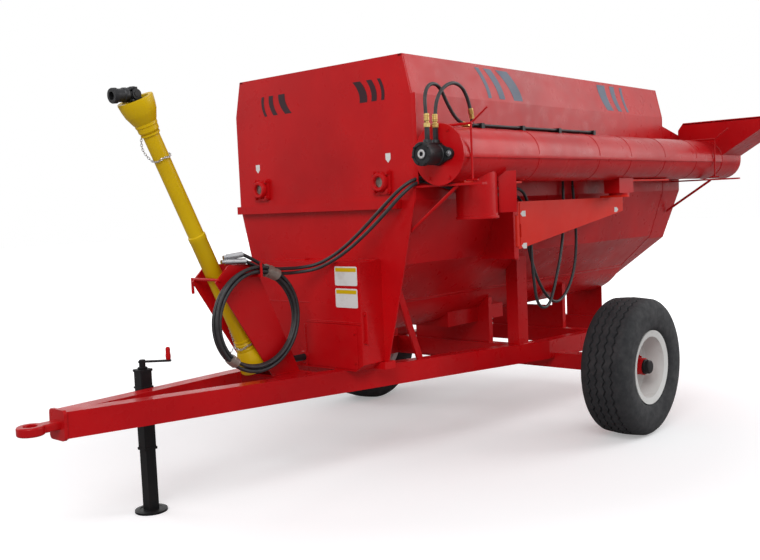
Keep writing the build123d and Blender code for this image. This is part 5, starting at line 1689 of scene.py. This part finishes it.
@dataclass
class DrawbarDress:
    """The drawbar's welds and the jack's crank, collars, bolts and foot."""

    shop: Workshop
    jack: tuple[float, float] = (2.440, -0.18026)
    crank_turn: float = 132.0
    crank_reach: float = 0.120
    rail_rear: float = 0.539
    rail_tip: float = 0.0494
    rail_bend: float = 0.100
    rail_end: float = 2.960
    rail_width: float = 0.076

    def rail(self, x: float, outer: bool = True) -> float:
        """Gives the distance of a rail's face from the middle plane.

        Args:
            x: Length from the axle.
            outer: Whether it is the outer face.

        Returns:
            The distance.
        """
        slope = (self.rail_rear - self.rail_tip) / (self.rail_end - self.rail_bend)
        out = self.rail_rear - slope * max(0.0, x - self.rail_bend)
        width = self.rail_width * (math.hypot(1, slope) if x > self.rail_bend else 1)
        return out if outer else out - width

    def top(self, x: float) -> float:
        """Returns the height of the rails' top face."""
        return 0.513 + 0.0267 * x

    def welds(self) -> None:
        """Lays the beads where posts, beams, braces and the bolster meet the rails."""
        beads = []
        for side in (1, -1):
            ring = [(0.212, 0.420), (0.312, 0.420), (0.312, 0.496), (0.212, 0.496), (0.212, 0.420)]
            beads.append([place(x, side * y, self.top(x) + 0.0006) for x, y in ring
                          if y <= self.rail(x) + 0.03])
            for x in (0.290, 0.366, -0.560, -0.484, -1.262, 1.700, 1.890):
                y = side * (self.rail(x, False) - 0.001)
                beads.append([place(x, y, self.top(x) - 0.002), place(x, y, self.top(x) - 0.096)])
            beads.append([place(1.4205, side * 0.300, self.top(1.42) + 0.001),
                          place(1.4205, side * (self.rail(1.42) - 0.004), self.top(1.42) + 0.001)])
            for x in (1.7165, 1.8895):
                high = self.top(x) + 0.001
                beads.append([place(x, side * 0.0885, high), place(x, side * 0.0795, high)])
            beads.append([place(1.7165, side * 0.0885, self.top(1.72) + 0.001),
                          place(1.8895, side * 0.0885, self.top(1.89) + 0.001)])
        high, low = self.top(2.96), self.top(2.96) - 0.109
        nose = [place(2.958, y, z) for y, z in ((-0.050, high), (0.050, high), (0.050, low), (-0.050, low),
                                                (-0.050, high))]
        self.shop.welds("drawbar_welds", beads + [nose], Body.CHASSIS, radius=0.0030)

    def crank(self) -> None:
        """Replaces the crank with a forged one: boss, bent flat bar, pin and red grip."""
        x, y = self.jack
        top = place(x, y, 0.662)
        t = math.radians(self.crank_turn)
        way = Vector((math.cos(t), math.sin(t), 0))
        steel = Shape()
        steel.lathe([(0, 0), (0.021, 0), (0.022, 0.002), (0.022, 0.008), (0.0145, 0.011), (0.0145, 0.040),
                     (0.012, 0.043), (0, 0.043)], top, (0, 0, 1), 32)
        lift = Vector((0, 0, 0.0335))
        steel.bar(top + lift - way * 0.016, top + lift + way * (self.crank_reach + 0.012), 0.022, 0.009,
                  bevel=0.0025)
        steel.lathe([(0, 0), (0.0065, 0), (0.0065, 0.010), (0, 0.010)], top + lift - Vector((0, 0.016, 0)),
                    (0, 1, 0), 14)
        steel.piece("crank_bar", self.shop["BlackEnamel"], Body.CHASSIS, "jack_crank")
        foot = top + lift + way * self.crank_reach
        grip = Shape().lathe([(0, 0.004), (0.0085, 0.004), (0.0112, 0.009), (0.0120, 0.022), (0.0102, 0.040),
                              (0.0108, 0.052), (0.0095, 0.060), (0.0045, 0.0635), (0, 0.0638)],
                             foot, (0, 0, 1), 28)
        grip.piece("crank_grip", self.shop["RedEnamel"], Body.CHASSIS)

    def jack_trim(self) -> None:
        """Adds the jack's collars, clamp bolts and the foot's raised rim."""
        x, y = self.jack
        collar = Shape()
        for z, height in ((0.290, 0.012), (0.455, 0.008), (0.575, 0.008)):
            for dx, dy, wide, deep in ((0, 0.031, 0.062, 0.003), (0, -0.031, 0.062, 0.003),
                                       (0.031, 0, 0.003, 0.062), (-0.031, 0, 0.003, 0.062)):
                foot = place(x + dx, y + dy, z)
                collar.bar(foot, foot + Vector((0, 0, height)), wide, deep, (0, 1, 0), bevel=0.0008)
        collar.piece("jack_collars", self.shop["BlackEnamel"], Body.CHASSIS)
        rows = [(place(x + 0.0335, y, z), (1.0, 0.0, 0.0)) for z in (0.480, 0.556)]
        self.shop.bolts("jack_bolts", rows, Body.CHASSIS, "BlackEnamel", 0.0085, 0.0045)
        foot = Shape().lathe([(0, 0.0097), (0.050, 0.0097), (0.053, 0.0125), (0.062, 0.0120),
                              (0.0715, 0.0098), (0.0738, 0.0060), (0.0738, 0.0005), (0, 0.0005)],
                             place(x, y, 0), (0, 0, 1), 48)
        foot.piece("jack_foot", self.shop["BlackEnamel"], Body.JACK)

    def build(self) -> None:
        """Builds the drawbar's dress."""
        self.welds()
        self.crank()
        self.jack_trim()


@dataclass
class Studio:
    """The camera at the photograph's place, a pale floor and soft light."""

    eye: tuple[float, float, float] = (4.2247, 3.3993, 1.3598)
    azimuth: float = 221.573
    elevation: float = -4.640
    roll: float = -2.42
    lens: float = 43.62
    sensor: float = 36.0

    def camera(self) -> None:
        """Places the camera at the photograph's view."""
        azimuth, elevation, roll = (math.radians(a) for a in (self.azimuth, self.elevation, self.roll))
        forward = Vector((math.cos(elevation) * math.cos(azimuth), math.cos(elevation) * math.sin(azimuth),
                          math.sin(elevation)))
        right = forward.cross(Vector((0, 0, 1))).normalized()
        up = right.cross(forward)
        across = math.cos(roll) * right + math.sin(roll) * up
        upward = -math.sin(roll) * right + math.cos(roll) * up
        turn = Matrix((across, upward, -forward)).transposed()
        data = bpy.data.cameras.new("PhotoCamera")
        data.lens, data.sensor_width = self.lens, self.sensor
        data.clip_end = 100
        camera = bpy.data.objects.new("PhotoCamera", data)
        camera.matrix_world = Matrix.Translation(self.eye) @ turn.to_4x4()
        bpy.context.scene.collection.objects.link(camera)
        bpy.context.scene.camera = camera

    def lamp(self, name: str, place: tuple[float, float, float], size: float, power: float) -> None:
        """Adds a square soft lamp that looks at the wagon.

        Args:
            name: The lamp's name.
            place: Where it hangs.
            size: The side of its square.
            power: Its power in watts.
        """
        data = bpy.data.lights.new(name, "AREA")
        data.size, data.energy = size, power
        lamp = bpy.data.objects.new(name, data)
        aim = Vector((0, 0, 1)) - Vector(place)
        lamp.matrix_world = Matrix.Translation(place) @ aim.to_track_quat("-Z", "Y").to_matrix().to_4x4()
        bpy.context.scene.collection.objects.link(lamp)

    def floor(self) -> None:
        """Lays the pale floor: it glows towards the camera, more so far out, and is greyer to other rays."""
        shader = Shader.named("PaleFloor")
        shader.principled.inputs["Roughness"].default_value = 0.8
        shader.principled.inputs["Specular IOR Level"].default_value = 0.1
        seen = shader.add("ShaderNodeLightPath").outputs["Is Camera Ray"]
        shader.join(shader.mix(seen, colour(176, 174, 175), colour(232, 232, 234)),
                    shader.principled.inputs["Base Color"])
        far = shader.add("ShaderNodeVectorMath", operation="LENGTH")
        shader.join(shader.coordinates(), far.inputs[0])
        glow = shader.add("ShaderNodeMath", operation="MULTIPLY")
        shader.join(shader.band(far.outputs["Value"], 1.6, 5.5, 0.30, 0.9), glow.inputs[0])
        shader.join(seen, glow.inputs[1])
        shader.principled.inputs["Emission Color"].default_value = colour(255, 255, 255)
        shader.join(glow.outputs[0], shader.principled.inputs["Emission Strength"])
        mesh = bmesh.new()
        bmesh.ops.create_grid(mesh, x_segments=1, y_segments=1, size=40)
        data = bpy.data.meshes.new("Floor")
        mesh.to_mesh(data)
        mesh.free()
        data.materials.append(shader.material)
        floor = bpy.data.objects.new("Floor", data)
        bpy.context.scene.collection.objects.link(floor)

    def sky(self) -> None:
        """Makes a plain world: white to the camera and to reflections, soft grey as a light."""
        world = bpy.data.worlds.new("Studio")
        world.use_nodes = True
        bpy.context.scene.world = world
        nodes, links = world.node_tree.nodes, world.node_tree.links
        back = nodes["Background"]
        path = nodes.new("ShaderNodeLightPath")
        either, seen = nodes.new("ShaderNodeMath"), nodes.new("ShaderNodeMath")
        for node in (either, seen):
            node.operation = "MAXIMUM"
        links.new(path.outputs["Is Camera Ray"], either.inputs[0])
        links.new(path.outputs["Is Glossy Ray"], either.inputs[1])
        links.new(either.outputs[0], seen.inputs[0])
        links.new(path.outputs["Is Transmission Ray"], seen.inputs[1])
        strength = nodes.new("ShaderNodeMapRange")
        strength.inputs["To Min"].default_value = 0.45
        strength.inputs["To Max"].default_value = 1.0
        links.new(seen.outputs[0], strength.inputs["Value"])
        links.new(strength.outputs["Result"], back.inputs["Strength"])
        back.inputs["Color"].default_value = (1, 1, 1, 1)

    def build(self) -> None:
        """Builds the whole studio."""
        self.camera()
        self.floor()
        self.sky()
        self.lamp("KeyLamp", (6.5, 4.0, 5.5), 4.0, 320)
        self.lamp("SideLamp", (-6.0, 5.5, 4.5), 5.0, 300)
        self.lamp("FarLamp", (3.0, -7.0, 5.0), 4.0, 130)
        bpy.context.scene.view_settings.view_transform = "Standard"


@dataclass
class CarriedParts:
    """The CAD pieces that keep their shape, each with the finish of its slot."""

    palette: Palette

    def dress(self, frame: dict) -> None:
        """Gives every CAD node the finish of its record slot.
        """
        slots = {row["node"]: row["material_slot"] for row in frame["record"]["subparts"]}
        for name, node in frame["nodes"].items():
            node.data.materials.clear()
            node.data.materials.append(self.palette[SLOT_FINISH[slots[name]]])
        LOG.info("finished %d carried parts", len(frame["nodes"]))


def main() -> None:
    """Builds the dressed wagon in order."""
    logging.basicConfig(level=logging.INFO, format="%(name)s %(message)s")
    bpy.ops.object.select_all(action="SELECT")
    bpy.ops.object.delete()
    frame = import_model()
    palette = Palette()
    Studio().build()
    shop = Workshop(palette)
    for assembly in (Hydraulics(shop), Wheels(shop), TubDress(shop), DischargeDress(shop), ArmDress(shop),
                     CasingDress(shop), ShaftDress(shop), DrawbarDress(shop)):
        assembly.build()
        LOG.info("built %s", type(assembly).__name__)
    CarriedParts(palette).dress(frame)
    bpy.context.view_layer.update()


if __name__ == "__main__":
    main()
